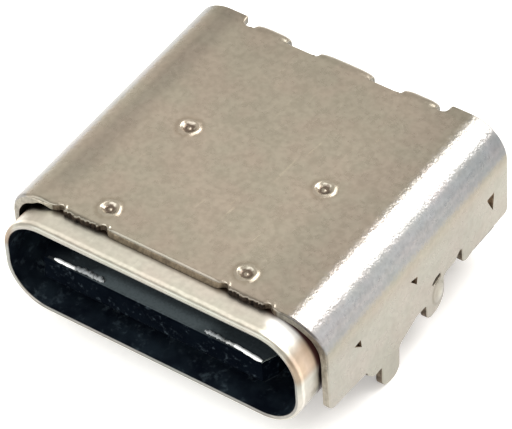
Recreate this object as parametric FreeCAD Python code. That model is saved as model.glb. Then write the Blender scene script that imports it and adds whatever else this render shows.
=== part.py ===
import FreeCAD, Part
import math
import os

V = FreeCAD.Vector
os.makedirs("parts", exist_ok=True)

# Board-mount USB-C socket.
# Frame: origin at the centre of the plug mouth on the plane of the front rim,
# +X to the right seen from the front, +Y into the socket, +Z up. Millimetres.

# ---- plug mouth and inner shell -------------------------------------------------
MOUTH_W = 8.34          # width of the opening
MOUTH_H = 2.56          # height of the opening
MOUTH_R = 1.05          # corner radius of the opening
INNER_T = 0.15          # sheet thickness of the inner shell
INNER_LEN = 7.40        # length of the inner shell, from the rim
RIM_ROUND = 0.07        # rounding of the rim's outer edge
WINDOW_W = 6.90         # window in the inner shell's floor, over the solder feet
WINDOW_Y = 6.42         # where that window starts

# ---- outer shell ----------------------------------------------------------------
OUTER_T = 0.20          # sheet thickness of the outer shell
OUTER_HW = 4.575        # half width
OUTER_TOP = 1.63        # top face above the mouth's centre
OUTER_BEND_R = 1.03     # outside radius of the two long bends
FRONT_Y = 0.77          # front edge, so far behind the rim
REAR_Y = 8.57           # rear edge
REAR_CUT_Y = 8.26       # rear edge between the tabs
TAB_FACE_Y = 8.60       # rear face of the bent tabs
TAB_BEND_R = 0.28       # outside radius of the tabs' bends
TAB_END_Z = 0.15        # lower end of the tabs
TABS_X = [(-2.67, -1.69), (-0.77, 0.77), (1.69, 2.67)]
TAB_SPAN = 3.00         # the rear edge is cut back within this half width

SEAT_Z = -1.70          # board surface: legs' shoulders and rear base stand on it
NICKS_X = [1.75, 2.99]  # snap-off nicks at the front edge, both sides
STUB_STEP = 0.03        # the snapped stubs stand this far out of the front edge

# spot welds: x, y on the top plate
WELDS_TOP = [(-1.98, 1.33), (1.98, 1.33), (-1.97, 4.56), (1.97, 4.56)]
WELD_TOP_R = 0.26
WELD_DEPTH = 0.04
# lances pressed in from the side walls to bear on the inner shell: a triangle of
# (y, z) points, tip first, that slopes in from the tip to a full cut at the back
LANCES = [[(1.99, -0.10), (2.19, 0.00), (2.16, -0.20)],
          [(4.36, -0.09), (4.56, 0.02), (4.53, -0.20)],
          [(7.68, -0.27), (7.93, -0.07), (7.87, -0.48)]]
LANCE_DEPTH = 0.15

# ---- tongue ---------------------------------------------------------------------
TONGUE_HW = 3.345       # half width
TONGUE_HT = 0.35        # half thickness
TONGUE_Y = 0.12         # front edge of the tongue
TONGUE_END = 4.50       # where the thicker root starts
CORNER_X = 0.17         # front corner chamfer, across
CORNER_Y = 0.43         # front corner chamfer, along
ROOT_HT = 0.60          # half thickness of the root
STOP_Y = 6.20           # face that the plug stops at
FIT = 0.01              # gap round the moulded block in the inner shell

WAFER_HW = 2.98
WAFER_Y = 0.62
PLATE_T = 0.15
PLATE_HW = 3.30
LATCH_Y0, LATCH_Y1, LATCH_X = 2.60, 3.60, 3.03   # latch notches in the plate's sides
LIP_X0, LIP_X1 = 1.50, 3.10                       # bright lips at the tongue's front edge
LIP_Y0, LIP_Y1 = 0.17, 0.24
BEVEL_Y, BEVEL_Z = 0.04, 0.06                     # lead-in bevel of that edge

PAD_T = 0.10
PAD_HW = 3.10

# ---- rear base and solder feet ---------------------------------------------------
BASE_Y0, BASE_Y1 = 7.41, 8.34
BASE_HW = 4.30
BASE_TOP = 1.41
PEG_X, PEG_Y, PEG_R, PEG_LEN = 2.89, 7.86, 0.27, 0.55

PITCH = 0.50
CONTACT_W = 0.25
CONTACT_T = 0.12
FOOT_W = 0.24
TIP_LONG, TIP_SHORT = 0.85, 1.30
A_DOWN_Y = 8.05         # front face of the upper row's drop inside the base
A_FOOT_Y = 9.10         # rear end of the upper row's feet
B_DOWN_Y = 7.62         # rear face of the lower row's drop
B_FOOT_Y = 6.62         # front end of the lower row's feet


def box(x0, x1, y0, y1, z0, z1):
    return Part.makeBox(x1 - x0, y1 - y0, z1 - z0, V(x0, y0, z0))


def poly_yz(points, x0, x1):
    """Prism along X from a closed outline of (y, z) points."""
    pts = [V(x0, y, z) for y, z in points]
    face = Part.Face(Part.makePolygon(pts + [pts[0]]))
    return face.extrude(V(x1 - x0, 0, 0))


def poly_xy(points, z0, z1):
    """Prism along Z from a closed outline of (x, y) points."""
    pts = [V(x, y, z0) for x, y in points]
    face = Part.Face(Part.makePolygon(pts + [pts[0]]))
    return face.extrude(V(0, 0, z1 - z0))


def path_prism(start, steps, plane, lo, hi):
    """Prism from a path of lines ("L", end) and arcs ("A", mid, end)."""
    def at(p):
        if plane == "xz":
            return V(p[0], lo, p[1])
        return V(lo, p[0], p[1])
    edges = []
    here = start
    for s in steps:
        end = s[-1]
        if s[0] == "L":
            edges.append(Part.LineSegment(at(here), at(end)).toShape())
        else:
            edges.append(Part.Arc(at(here), at(s[1]), at(end)).toShape())
        here = end
    if math.dist(here, start) > 1e-7:
        edges.append(Part.LineSegment(at(here), at(start)).toShape())
    face = Part.Face(Part.Wire(Part.__sortEdges__(edges)))
    d = V(0, hi - lo, 0) if plane == "xz" else V(hi - lo, 0, 0)
    return face.extrude(d)


def rounded_block(hw, hh, r, y0, y1):
    q = r * (1 - math.sqrt(0.5))
    return path_prism((hw, -hh + r), [
        ("L", (hw, hh - r)), ("A", (hw - q, hh - q), (hw - r, hh)),
        ("L", (-hw + r, hh)), ("A", (-hw + q, hh - q), (-hw, hh - r)),
        ("L", (-hw, -hh + r)), ("A", (-hw + q, -hh + q), (-hw + r, -hh)),
        ("L", (hw - r, -hh)), ("A", (hw - q, -hh + q), (hw, -hh + r)),
    ], "xz", y0, y1)


def clean(shape):
    s = shape.removeSplitter()
    if len(s.Solids) == 1:
        s = s.Solids[0]
    return s


# ============================ inner shell ========================================
in_hw, in_hh = MOUTH_W / 2 + INNER_T, MOUTH_H / 2 + INNER_T
tube = rounded_block(in_hw, in_hh, MOUTH_R + INNER_T, 0, INNER_LEN)
front_edges = [e for e in tube.Edges
               if abs(e.BoundBox.YMin) < 1e-6 and abs(e.BoundBox.YMax) < 1e-6]
tube = tube.makeFillet(RIM_ROUND, front_edges)
tube = tube.cut(rounded_block(MOUTH_W / 2, MOUTH_H / 2, MOUTH_R, -1, INNER_LEN + 1))
tube = tube.cut(box(-WINDOW_W / 2, WINDOW_W / 2, WINDOW_Y, INNER_LEN + 1, -2, -0.8))
inner_shell = clean(tube)

# ============================ outer shell ========================================
hw, zt, R, t = OUTER_HW, OUTER_TOP, OUTER_BEND_R, OUTER_T
LOW = -2.60
q = R * (1 - math.sqrt(0.5))
r = R - t
qi = r * (1 - math.sqrt(0.5))
shell = path_prism((hw, LOW), [
    ("L", (hw, zt - R)), ("A", (hw - q, zt - q), (hw - R, zt)),
    ("L", (-hw + R, zt)), ("A", (-hw + q, zt - q), (-hw, zt - R)),
    ("L", (-hw, LOW)), ("L", (-hw + t, LOW)), ("L", (-hw + t, zt - R)),
    ("A", (-hw + t + qi, zt - t - qi), (-hw + R, zt - t)),
    ("L", (hw - R, zt - t)),
    ("A", (hw - t - qi, zt - t - qi), (hw - t, zt - R)),
    ("L", (hw - t, LOW)),
], "xz", FRONT_Y, REAR_Y)

# lower outline of a side wall, front to rear: everything under it is cut away
legs = path_prism((FRONT_Y - 1, -3.2), [
    ("L", (FRONT_Y - 1, -1.00)), ("L", (FRONT_Y, -1.00)),
    ("A", (FRONT_Y + 0.05, -1.14), (FRONT_Y + 0.20, -1.20)),
    ("L", (2.38, -1.29)),
    # front leg with its two shoulders
    ("L", (2.40, -1.44)), ("L", (2.62, -1.68)), ("L", (2.70, SEAT_Z)),
    ("L", (3.00, SEAT_Z)), ("L", (3.00, -2.20)),
    ("A", (3.09, -2.41), (3.32, -2.51)), ("L", (3.46, -2.52)),
    ("A", (3.68, -2.41), (3.76, -2.20)), ("L", (3.75, -1.62)),
    ("L", (3.84, -1.55)), ("L", (4.10, -1.46)), ("L", (4.50, -1.285)),
    # rear leg
    ("L", (4.93, -1.30)), ("L", (4.93, -1.66)),
    ("A", (4.99, -1.78), (5.16, -1.84)), ("A", (5.55, -1.70), (5.70, -1.32)),
    ("L", (5.70, -1.02)), ("A", (5.735, -0.925), (5.83, -0.89)),
    ("L", (6.20, -0.885)),
    # slot and ear
    ("L", (6.38, -0.72)), ("A", (6.45, -0.68), (6.52, -0.72)),
    ("L", (6.53, -1.13)), ("A", (6.56, -1.20), (6.62, -1.24)),
    ("L", (6.70, -1.265)), ("A", (6.78, -1.25), (6.86, -1.22)),
    ("L", (7.04, -1.195)),
    ("L", (REAR_Y - 0.16, -1.17)), ("A", (REAR_Y - 0.045, -1.12), (REAR_Y, -1.02)),
    ("L", (REAR_Y + 1, -1.02)), ("L", (REAR_Y + 1, -3.2)),
], "yz", -6.0, 6.0)
shell = shell.cut(legs)

# rear edge cut back between the corners, then the three bent tabs
shell = shell.cut(box(TABS_X[0][0], TABS_X[2][1], REAR_CUT_Y, REAR_Y + 1, 0.9, 2.0))
rn = (TAB_SPAN - TABS_X[2][1]) / 2
for s in (-1, 1):
    # relief beside each corner is a round-bottomed notch
    xa, xb = sorted((s * TABS_X[2][1], s * TAB_SPAN))
    shell = shell.cut(box(xa, xb, REAR_CUT_Y + rn, REAR_Y + 1, 0.9, 2.0))
    shell = shell.cut(Part.makeCylinder(rn, 1.2, V((xa + xb) / 2, REAR_CUT_Y + rn, 0.9)))
ro, ri = TAB_BEND_R, TAB_BEND_R - t
y0 = TAB_FACE_Y - ro
for xa, xb in TABS_X:
    tab = path_prism((REAR_CUT_Y - 0.05, zt), [
        ("L", (y0, zt)),
        ("A", (y0 + ro * math.sqrt(0.5), zt - ro + ro * math.sqrt(0.5)), (TAB_FACE_Y, zt - ro)),
        ("L", (TAB_FACE_Y, TAB_END_Z)), ("L", (TAB_FACE_Y - t, TAB_END_Z)),
        ("L", (TAB_FACE_Y - t, zt - ro)),
        ("A", (y0 + ri * math.sqrt(0.5), zt - ro + ri * math.sqrt(0.5)), (y0, zt - t)),
        ("L", (REAR_CUT_Y - 0.05, zt - t)),
    ], "yz", xa, xb)
    shell = shell.fuse(tab)

# front edge: snap-off nicks, and the stubs between them
for s in (-1, 1):
    xa, xb = sorted((s * (NICKS_X[0] + 0.10), s * (NICKS_X[1] - 0.09)))
    shell = shell.fuse(box(xa, xb, FRONT_Y - STUB_STEP, FRONT_Y + 0.1, zt - t, zt))
    for xn in NICKS_X:
        shell = shell.cut(Part.makeCylinder(0.09, 1.0, V(s * xn, FRONT_Y + 0.01, 1.2)))

# slanted relief slot over the rear leg
for s in (-1, 1):
    x0, x1 = sorted((s * 4.2, s * 4.8))
    shell = shell.cut(poly_yz([(5.16, -0.80), (5.22, -0.83), (5.50, -0.72), (5.46, -0.66)], x0, x1))

# spot-weld craters
for x, y in WELDS_TOP:
    rs = (WELD_TOP_R ** 2 + WELD_DEPTH ** 2) / (2 * WELD_DEPTH)
    shell = shell.cut(Part.makeSphere(rs, V(x, y, zt + rs - WELD_DEPTH)))
for tip, top, low in LANCES:
    for s in (-1, 1):
        p0, p1, p2 = [V(s * hw, y, z) for y, z in (tip, top, low)]
        q1, q2 = [V(s * (hw - LANCE_DEPTH), y, z) for y, z in (top, low)]
        o = V(s * 0.05, 0, 0)
        faces = [(p0 + o, p1 + o, p2 + o), (p0, q1, q2), (p1 + o, p2 + o, q2, q1),
                 (p0 + o, p1 + o, q1, p0), (p0 + o, p0, q2, p2 + o)]
        wedge = Part.Solid(Part.Shell([Part.Face(Part.makePolygon(list(f) + [f[0]])) for f in faces]))
        if wedge.Volume < 0:
            wedge.reverse()
        shell = shell.cut(wedge)
outer_shell = clean(shell)

# ============================ contacts ===========================================
def contact_path(upper, tip):
    """Outline (y, z) of one contact and its solder foot."""
    c, f0, f1 = CONTACT_T, SEAT_Z, SEAT_Z + CONTACT_T
    if upper:
        z1, z0 = TONGUE_HT, TONGUE_HT - c
        return [(tip + 0.08, z0), (tip, z0 + 0.05), (tip, z1), (A_DOWN_Y + c, z1),
                (A_DOWN_Y + c, f1), (A_FOOT_Y, f1), (A_FOOT_Y, f0), (A_DOWN_Y, f0),
                (A_DOWN_Y, z0)]
    z0, z1 = -TONGUE_HT, -TONGUE_HT + c
    return [(tip, z0), (tip, z1 - 0.05), (tip + 0.08, z1), (B_DOWN_Y, z1),
            (B_DOWN_Y, f0), (B_FOOT_Y, f0), (B_FOOT_Y, f1), (B_DOWN_Y - c, f1),
            (B_DOWN_Y - c, z0)]


contacts = {}
for i in range(1, 13):
    x = (i - 6.5) * PITCH
    tip = TIP_LONG if i in (1, 4, 9, 12) else TIP_SHORT
    contacts["contact_a%d" % i] = poly_yz(contact_path(True, tip), x - CONTACT_W / 2, x + CONTACT_W / 2)
    contacts["contact_b%d" % i] = poly_yz(contact_path(False, tip), -x - CONTACT_W / 2, -x + CONTACT_W / 2)
all_contacts = Part.makeCompound(list(contacts.values()))

# ============================ mid plate ==========================================
pt = PLATE_T / 2
plate = poly_xy([
    (-PLATE_HW + 0.18, LIP_Y1), (PLATE_HW - 0.18, LIP_Y1),
    (PLATE_HW, TONGUE_Y + 0.55), (PLATE_HW, LATCH_Y0), (LATCH_X, LATCH_Y0 + 0.10),
    (LATCH_X, LATCH_Y1 - 0.10), (PLATE_HW, LATCH_Y1), (PLATE_HW, 8.05 + CONTACT_T),
    (-PLATE_HW, 8.05 + CONTACT_T), (-PLATE_HW, LATCH_Y1), (-LATCH_X, LATCH_Y1 - 0.10),
    (-LATCH_X, LATCH_Y0 + 0.10), (-PLATE_HW, LATCH_Y0), (-PLATE_HW, TONGUE_Y + 0.55),
], -pt, pt)
# windows let the plastic lock through the plate
locks = [box(xc - 0.35, xc + 0.35, 1.9, 2.5, -pt, pt) for xc in (-1.8, 0.0, 1.8)]
for lock in locks:
    plate = plate.cut(lock)
# the rear is cut to leave two strips beside the contacts' drops, each with a solder foot
plate = plate.cut(box(-3.0, 3.0, BASE_Y0 - FIT, 9.0, -1, 1))
for s in (-1, 1):
    xa, xb = sorted((s * 3.05, s * 3.30))
    plate = plate.fuse(poly_yz([(A_DOWN_Y, pt), (A_DOWN_Y + CONTACT_T, pt),
                                (A_DOWN_Y + CONTACT_T, SEAT_Z + CONTACT_T), (A_FOOT_Y, SEAT_Z + CONTACT_T),
                                (A_FOOT_Y, SEAT_Z), (A_DOWN_Y, SEAT_Z)], xa, xb))
    # lips that show as bright lines at the tongue's front edge
    xa, xb = sorted((s * LIP_X0, s * LIP_X1))
    plate = plate.fuse(box(xa, xb, LIP_Y0, LIP_Y1, -TONGUE_HT, TONGUE_HT))
mid_plate = clean(plate)

# ============================ insulators =========================================
upper = box(-WAFER_HW, WAFER_HW, WAFER_Y, BASE_Y0 - FIT, pt, TONGUE_HT)
lower = box(-WAFER_HW, WAFER_HW, WAFER_Y, BASE_Y0 - FIT, -TONGUE_HT, -pt)
for lock in locks:
    upper = upper.fuse(lock)
upper_wafer = clean(upper.cut(all_contacts).cut(mid_plate))
lower_wafer = clean(lower.cut(all_contacts).cut(mid_plate))

TH = TONGUE_HW
tongue = poly_xy([
    (-TH + CORNER_X, TONGUE_Y), (TH - CORNER_X, TONGUE_Y), (TH, TONGUE_Y + CORNER_Y),
    (TH, STOP_Y + 0.2), (-TH, STOP_Y + 0.2), (-TH, TONGUE_Y + CORNER_Y),
], -TONGUE_HT, TONGUE_HT)
# lead-in bevels along the front edge
for s in (-1, 1):
    tongue = tongue.cut(poly_yz([(TONGUE_Y - BEVEL_Y, s * (TONGUE_HT + BEVEL_Z)),
                                 (TONGUE_Y + 2 * BEVEL_Y, s * (TONGUE_HT + BEVEL_Z)),
                                 (TONGUE_Y - BEVEL_Y, s * (TONGUE_HT - 2 * BEVEL_Z))], -4, 4))
root = box(-TH - 0.10, TH + 0.10, TONGUE_END, STOP_Y + 0.2, -ROOT_HT, ROOT_HT)
stop = rounded_block(MOUTH_W / 2 - FIT, MOUTH_H / 2 - FIT, MOUTH_R - FIT, STOP_Y, BASE_Y0 - FIT)
frame = tongue.fuse(root).fuse(stop)
frame = frame.cut(upper).cut(lower).cut(mid_plate).cut(all_contacts)
# latch pockets in the tongue's flanks, down to the plate's notches
for s in (-1, 1):
    xa, xb = sorted((s * (LATCH_X + 0.08), s * 4.0))
    frame = frame.cut(box(xa, xb, LATCH_Y0 + 0.15, LATCH_Y1 - 0.15, -0.4, 0.4))
tongue_housing = clean(frame)

pads = {}
for name, s in (("emi_pad_upper", 1), ("emi_pad_lower", -1)):
    z0, z1 = sorted((s * ROOT_HT, s * (ROOT_HT + PAD_T)))
    pad = box(-PAD_HW, PAD_HW, TONGUE_END + 0.12, STOP_Y, z0, z1)
    for xc in (-1.9, 0.0, 1.9):
        pad = pad.cut(box(xc - 0.45, xc + 0.45, TONGUE_END + 0.45, TONGUE_END + 0.75, -1, 1))
    pads[name] = clean(pad)

base = path_prism((BASE_HW, SEAT_Z), [
    ("L", (BASE_HW, BASE_TOP - 0.9)), ("A", (BASE_HW - 0.264, BASE_TOP - 0.264), (BASE_HW - 0.9, BASE_TOP)),
    ("L", (-BASE_HW + 0.9, BASE_TOP)), ("A", (-BASE_HW + 0.264, BASE_TOP - 0.264), (-BASE_HW, BASE_TOP - 0.9)),
    ("L", (-BASE_HW, SEAT_Z)),
], "xz", BASE_Y0, BASE_Y1)
# comb: the feet leave under raised edges at the back and at the front
base = base.cut(box(-3.40, 3.40, A_DOWN_Y + 0.20, BASE_Y1 + 1, -2, SEAT_Z + 0.30))
base = base.cut(box(-3.40, 3.40, BASE_Y0 - 1, B_DOWN_Y - 0.18, -2, SEAT_Z + 0.30))
for s in (-1, 1):
    base = base.fuse(Part.makeCylinder(PEG_R, PEG_LEN + 0.2, V(s * PEG_X, PEG_Y, SEAT_Z - PEG_LEN)))
base = base.cut(all_contacts).cut(mid_plate)
rear_base = clean(base)

# ============================ write ==============================================
nodes = {
    "outer_shell": outer_shell,
    "inner_shell": inner_shell,
    "tongue_housing": tongue_housing,
    "mid_plate": mid_plate,
    "upper_wafer": upper_wafer,
    "lower_wafer": lower_wafer,
    "rear_base": rear_base,
}
nodes.update(pads)
nodes.update(contacts)
for name, shape in nodes.items():
    shape.exportStep("parts/%s.step" % name)
    bb = shape.BoundBox
    print("%-16s solids %d valid %s vol %.3f  x %.2f %.2f y %.2f %.2f z %.2f %.2f" % (
        name, len(shape.Solids), shape.isValid(), shape.Volume,
        bb.XMin, bb.XMax, bb.YMin, bb.YMax, bb.ZMin, bb.ZMax))
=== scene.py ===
import bpy
import math
import random
import numpy as np
from mathutils import Matrix, Vector
from mathutils.geometry import delaunay_2d_cdt


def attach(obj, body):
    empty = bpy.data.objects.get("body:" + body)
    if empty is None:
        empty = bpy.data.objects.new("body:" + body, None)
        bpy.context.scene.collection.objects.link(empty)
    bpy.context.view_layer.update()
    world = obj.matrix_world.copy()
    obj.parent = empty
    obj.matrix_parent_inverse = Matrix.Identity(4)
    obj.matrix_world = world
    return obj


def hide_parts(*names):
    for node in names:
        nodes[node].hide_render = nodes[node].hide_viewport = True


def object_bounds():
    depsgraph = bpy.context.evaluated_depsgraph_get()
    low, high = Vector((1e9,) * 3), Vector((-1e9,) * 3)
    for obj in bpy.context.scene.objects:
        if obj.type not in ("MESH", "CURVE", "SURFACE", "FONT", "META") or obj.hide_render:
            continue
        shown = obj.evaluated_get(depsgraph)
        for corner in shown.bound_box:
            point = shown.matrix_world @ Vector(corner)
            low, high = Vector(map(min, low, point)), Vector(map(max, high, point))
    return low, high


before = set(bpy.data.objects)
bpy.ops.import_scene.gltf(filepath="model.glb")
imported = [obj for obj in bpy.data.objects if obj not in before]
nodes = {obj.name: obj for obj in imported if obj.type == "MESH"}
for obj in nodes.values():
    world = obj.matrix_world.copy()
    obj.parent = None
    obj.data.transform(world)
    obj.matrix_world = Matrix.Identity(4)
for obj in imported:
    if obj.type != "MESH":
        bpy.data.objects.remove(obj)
cad_box = [[float(c) for c in corner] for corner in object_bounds()]
scene = bpy.context.scene
MM = 0.001

# =============================================================================
# Camera: the photograph's angle, fitted to the mouth, the shell's edges, the
# welds and the tongue.
# =============================================================================
cam_data = bpy.data.cameras.new("camera")
cam_data.sensor_width = 36.0
cam_data.lens = 274.98
cam_data.clip_start = 0.001
cam_data.clip_end = 10.0
cam = bpy.data.objects.new("camera", cam_data)
scene.collection.objects.link(cam)
cam_right = Vector((0.8194525, 0.5710184, -0.0493517))
cam_up = Vector((-0.3808371, 0.6068254, 0.6976575))
cam_m = Matrix((cam_right, cam_up, cam_right.cross(cam_up))).transposed().to_4x4()
cam_m.translation = Vector((0.0406049, -0.0480125, 0.0675759))
cam.matrix_world = cam_m
scene.camera = cam

# =============================================================================
# Sizes in millimetres, the same as the part's own
# =============================================================================
MOUTH_HW, MOUTH_HH, MOUTH_R = 4.17, 1.28, 1.05
INNER_T, INNER_LEN = 0.15, 7.40
WINDOW_HW, WINDOW_Y = 3.45, 6.42
T = 0.20
HW, ZT, R = 4.575, 1.63, 1.03
FRONT_Y, REAR_Y, REAR_CUT_Y = 0.77, 8.57, 8.26
TAB_FACE_Y, TAB_R, TAB_END_Z = 8.60, 0.28, 0.15
TABS = [(-2.67, -1.69), (-0.77, 0.77), (1.69, 2.67)]
TAB_SPAN = 3.00
SEAT_Z = -1.70
WELDS = [(-1.98, 1.33), (1.98, 1.33), (-1.97, 4.56), (1.97, 4.56)]
LANCES = [[(1.88, 0.06), (2.15, 0.07), (2.18, -0.20)],
          [(4.26, 0.14), (4.57, 0.06), (4.53, -0.18)],
          [(7.62, -0.02), (7.95, 0.00), (7.885, -0.56)]]
LANCE_DEPTH = 0.135

S1 = HW - R                     # end of the flat top along the sheet
S2 = S1 + R * math.pi / 2       # end of the bend
TAB_Y0 = TAB_FACE_Y - TAB_R     # where the tabs start to bend
V_END = TAB_Y0 + TAB_R * math.pi / 2 + (ZT - TAB_R - TAB_END_Z)


def sz(z):
    return S2 + (ZT - R) - z


# =============================================================================
# Mesh building
# =============================================================================
class Builder:
    """Collects faces with a normal at each corner and joins equal points."""

    def __init__(self):
        self.keys, self.co = {}, []
        self.faces, self.normals, self.mats = [], [], []

    def vert(self, p):
        k = (round(p[0] * 1e5), round(p[1] * 1e5), round(p[2] * 1e5))
        if k not in self.keys:
            self.keys[k] = len(self.co)
            self.co.append(tuple(c * MM for c in p))
        return self.keys[k]

    def face(self, corners, mat=0):
        """corners is a list of (point, normal)."""
        idx, nor, pts = [], [], []
        for p, n in corners:
            i = self.vert(p)
            if i not in idx:
                idx.append(i)
                nor.append(n)
                pts.append(p)
        if len(idx) >= 3:
            way = 0.0
            for k in range(1, len(pts) - 1):
                a = [pts[k][c] - pts[0][c] for c in range(3)]
                b = [pts[k + 1][c] - pts[0][c] for c in range(3)]
                u = (a[1] * b[2] - a[2] * b[1], a[2] * b[0] - a[0] * b[2], a[0] * b[1] - a[1] * b[0])
                way += sum(u[c] * sum(n[c] for n in nor) for c in range(3))
            if way < 0:
                idx, nor = idx[::-1], nor[::-1]
            self.faces.append(idx)
            self.normals.append(nor)
            self.mats.append(mat)

    def make(self, name, materials):
        seen, keep = set(), []
        for i, f in enumerate(self.faces):
            k = tuple(sorted(f))
            if k not in seen:
                seen.add(k)
                keep.append(i)
        me = bpy.data.meshes.new(name)
        me.from_pydata(self.co, [], [self.faces[i] for i in keep])
        for m in materials:
            me.materials.append(m)
        me.polygons.foreach_set("material_index", [self.mats[i] for i in keep])
        me.polygons.foreach_set("use_smooth", [True] * len(keep))
        flat = []
        for i in keep:
            for n in self.normals[i]:
                v = Vector(n)
                flat.append(tuple(v.normalized()) if v.length > 1e-9 else (0.0, 0.0, 1.0))
        me.normals_split_custom_set(flat)
        me.update()
        ob = bpy.data.objects.new(name, me)
        scene.collection.objects.link(ob)
        return ob


def arc(a, m, b, seg):
    (ax, ay), (bx, by), (cx, cy) = a, m, b
    d = 2 * (ax * (by - cy) + bx * (cy - ay) + cx * (ay - by))
    ux = ((ax * ax + ay * ay) * (by - cy) + (bx * bx + by * by) * (cy - ay) + (cx * cx + cy * cy) * (ay - by)) / d
    uy = ((ax * ax + ay * ay) * (cx - bx) + (bx * bx + by * by) * (ax - cx) + (cx * cx + cy * cy) * (bx - ax)) / d
    r = math.hypot(ax - ux, ay - uy)
    t0, t1, t2 = (math.atan2(y - uy, x - ux) for x, y in (a, m, b))
    t1 += 2 * math.pi * (t1 < t0)
    t2 += 2 * math.pi * (t2 < t0)
    if t1 > t2:
        t2 -= 2 * math.pi
    n = max(4, int(abs(t2 - t0) * r / seg) + 1)
    return [(ux + r * math.cos(t0 + (t2 - t0) * i / n), uy + r * math.sin(t0 + (t2 - t0) * i / n)) for i in range(n + 1)]


def run(start, steps, seg=0.04):
    pts, here = [start], start
    for s in steps:
        if s[0] == "L":
            n = max(1, int(math.dist(here, s[1]) / seg))
            pts += [(here[0] + (s[1][0] - here[0]) * i / n, here[1] + (s[1][1] - here[1]) * i / n) for i in range(1, n + 1)]
        else:
            pts += arc(here, s[1], s[2], seg)[1:]
        here = s[-1]
    return pts


def soften(loop, r):
    """Rounds the sharp corners of a dense closed loop by averaging near them."""
    p = np.array(loop)
    n = len(p)
    for _ in range(3):
        a, b = np.roll(p, 2, 0) - p, np.roll(p, -2, 0) - p
        la, lb = np.linalg.norm(a, axis=1), np.linalg.norm(b, axis=1)
        cosang = (a * b).sum(1) / np.maximum(la * lb, 1e-12)
        sharp = cosang > -0.93
        near = sharp | np.roll(sharp, 1) | np.roll(sharp, -1)
        q = 0.25 * np.roll(p, 1, 0) + 0.5 * p + 0.25 * np.roll(p, -1, 0)
        p[near] = q[near]
    return [tuple(x) for x in p]


def loop_normals(p):
    a = p - np.roll(p, 1, 0)
    b = np.roll(p, -1, 0) - p
    a /= np.maximum(np.linalg.norm(a, axis=1, keepdims=True), 1e-12)
    b /= np.maximum(np.linalg.norm(b, axis=1, keepdims=True), 1e-12)
    t = a + b
    t /= np.maximum(np.linalg.norm(t, axis=1, keepdims=True), 1e-12)
    return np.stack([-t[:, 1], t[:, 0]], 1)


def inset(p, n, r):
    q = p + n * r
    for _ in range(12):
        e0 = np.roll(p, -1, 0) - p
        e1 = np.roll(q, -1, 0) - q
        bad = (e0 * e1).sum(1) < 0.05 * (e0 * e0).sum(1)
        if not bad.any():
            break
        for i in np.nonzero(bad)[0]:
            j = (i + 1) % len(q)
            mid = (q[i] + q[j]) / 2
            q[i] = q[j] = mid
    return q


def inside(pts, loops):
    """Even-odd test of many points against closed loops."""
    x, y = pts[:, 0], pts[:, 1]
    odd = np.zeros(len(pts), bool)
    for lp in loops:
        a, b = lp, np.roll(lp, -1, 0)
        for (x0, y0), (x1, y1) in zip(a, b):
            if y0 == y1:
                continue
            hit = ((y0 > y) != (y1 > y)) & (x < (x1 - x0) * (y - y0) / (y1 - y0) + x0)
            odd ^= hit
    return odd


def triangulate(loops, inner, clear):
    """Triangles over the loops' inside, using the inner points well clear of the loops."""
    ring = np.concatenate(loops)
    inner = inner[inside(inner, loops)]
    keep = []
    for i in range(0, len(inner), 400):
        part = inner[i:i + 400]
        d = np.sqrt(((part[:, None] - ring[None]) ** 2).sum(2)).min(1)
        keep.append(part[d > clear])
    inner = np.concatenate(keep) if keep else np.zeros((0, 2))
    pts, index, edges = [], {}, []
    for lp in loops:
        ids = []
        for q in lp:
            k = (round(q[0] * 1e6), round(q[1] * 1e6))
            if k not in index:
                index[k] = len(pts)
                pts.append(Vector((float(q[0]), float(q[1]))))
            ids.append(index[k])
        for a, b in zip(ids, ids[1:] + ids[:1]):
            if a != b:
                edges.append((a, b))
    for q in inner:
        pts.append(Vector((float(q[0]), float(q[1]))))
    out, _, tris, _, _, _ = delaunay_2d_cdt(pts, edges, [], 1, 1e-7)
    out = np.array([(v[0], v[1]) for v in out])
    tris = np.array([t for t in tris if len(t) == 3])
    mid = out[tris].mean(1)
    tris = tris[inside(mid, loops)]
    a, b, c = out[tris[:, 0]], out[tris[:, 1]], out[tris[:, 2]]
    area2 = (b[:, 0] - a[:, 0]) * (c[:, 1] - a[:, 1]) - (b[:, 1] - a[:, 1]) * (c[:, 0] - a[:, 0])
    tris[area2 < 0] = tris[area2 < 0][:, ::-1]
    return out, tris[np.abs(area2) > 1e-12]


# =============================================================================
# Outer shell: one sheet, cut flat and folded. s runs across the sheet from the
# middle of the top, v along it, h out of its outer face.
# =============================================================================
def fold(s, v):
    """Point, normal and the two tangents of the outer face."""
    sg = 1.0 if s >= 0 else -1.0
    a = abs(s)
    if a <= S1:
        if v > TAB_Y0 and a < 2.85:
            f = (v - TAB_Y0) / TAB_R
            if f <= math.pi / 2:
                return ((s, TAB_Y0 + TAB_R * math.sin(f), ZT - TAB_R * (1 - math.cos(f))),
                        (0, math.sin(f), math.cos(f)), (1, 0, 0), (0, math.cos(f), -math.sin(f)))
            down = v - TAB_Y0 - TAB_R * math.pi / 2
            return (s, TAB_FACE_Y, ZT - TAB_R - down), (0, 1, 0), (1, 0, 0), (0, 0, -1)
        return (s, v, ZT), (0, 0, 1), (1, 0, 0), (0, 1, 0)
    if a <= S2:
        f = (a - S1) / R
        return ((sg * (HW - R + R * math.sin(f)), v, ZT - R + R * math.cos(f)),
                (sg * math.sin(f), 0, math.cos(f)), (math.cos(f), 0, -sg * math.sin(f)), (0, 1, 0))
    return (sg * HW, v, ZT - R - (a - S2)), (sg, 0, 0), (0, 0, -sg), (0, 1, 0)


def bump(d, w):
    return math.exp(-(d / w) ** 2)


def ease(a, b, x):
    t = min(1.0, max(0.0, (x - a) / (b - a)))
    return t * t * (3 - 2 * t)


BURRS = [(-2.72, 0.6), (-2.45, 0.9), (-2.27, 1.1), (-2.02, 1.2), (-1.90, 0.8), (1.93, 1.0), (2.16, 0.7), (2.41, 0.6), (2.68, 1.0), (2.84, 1.1)]


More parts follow.
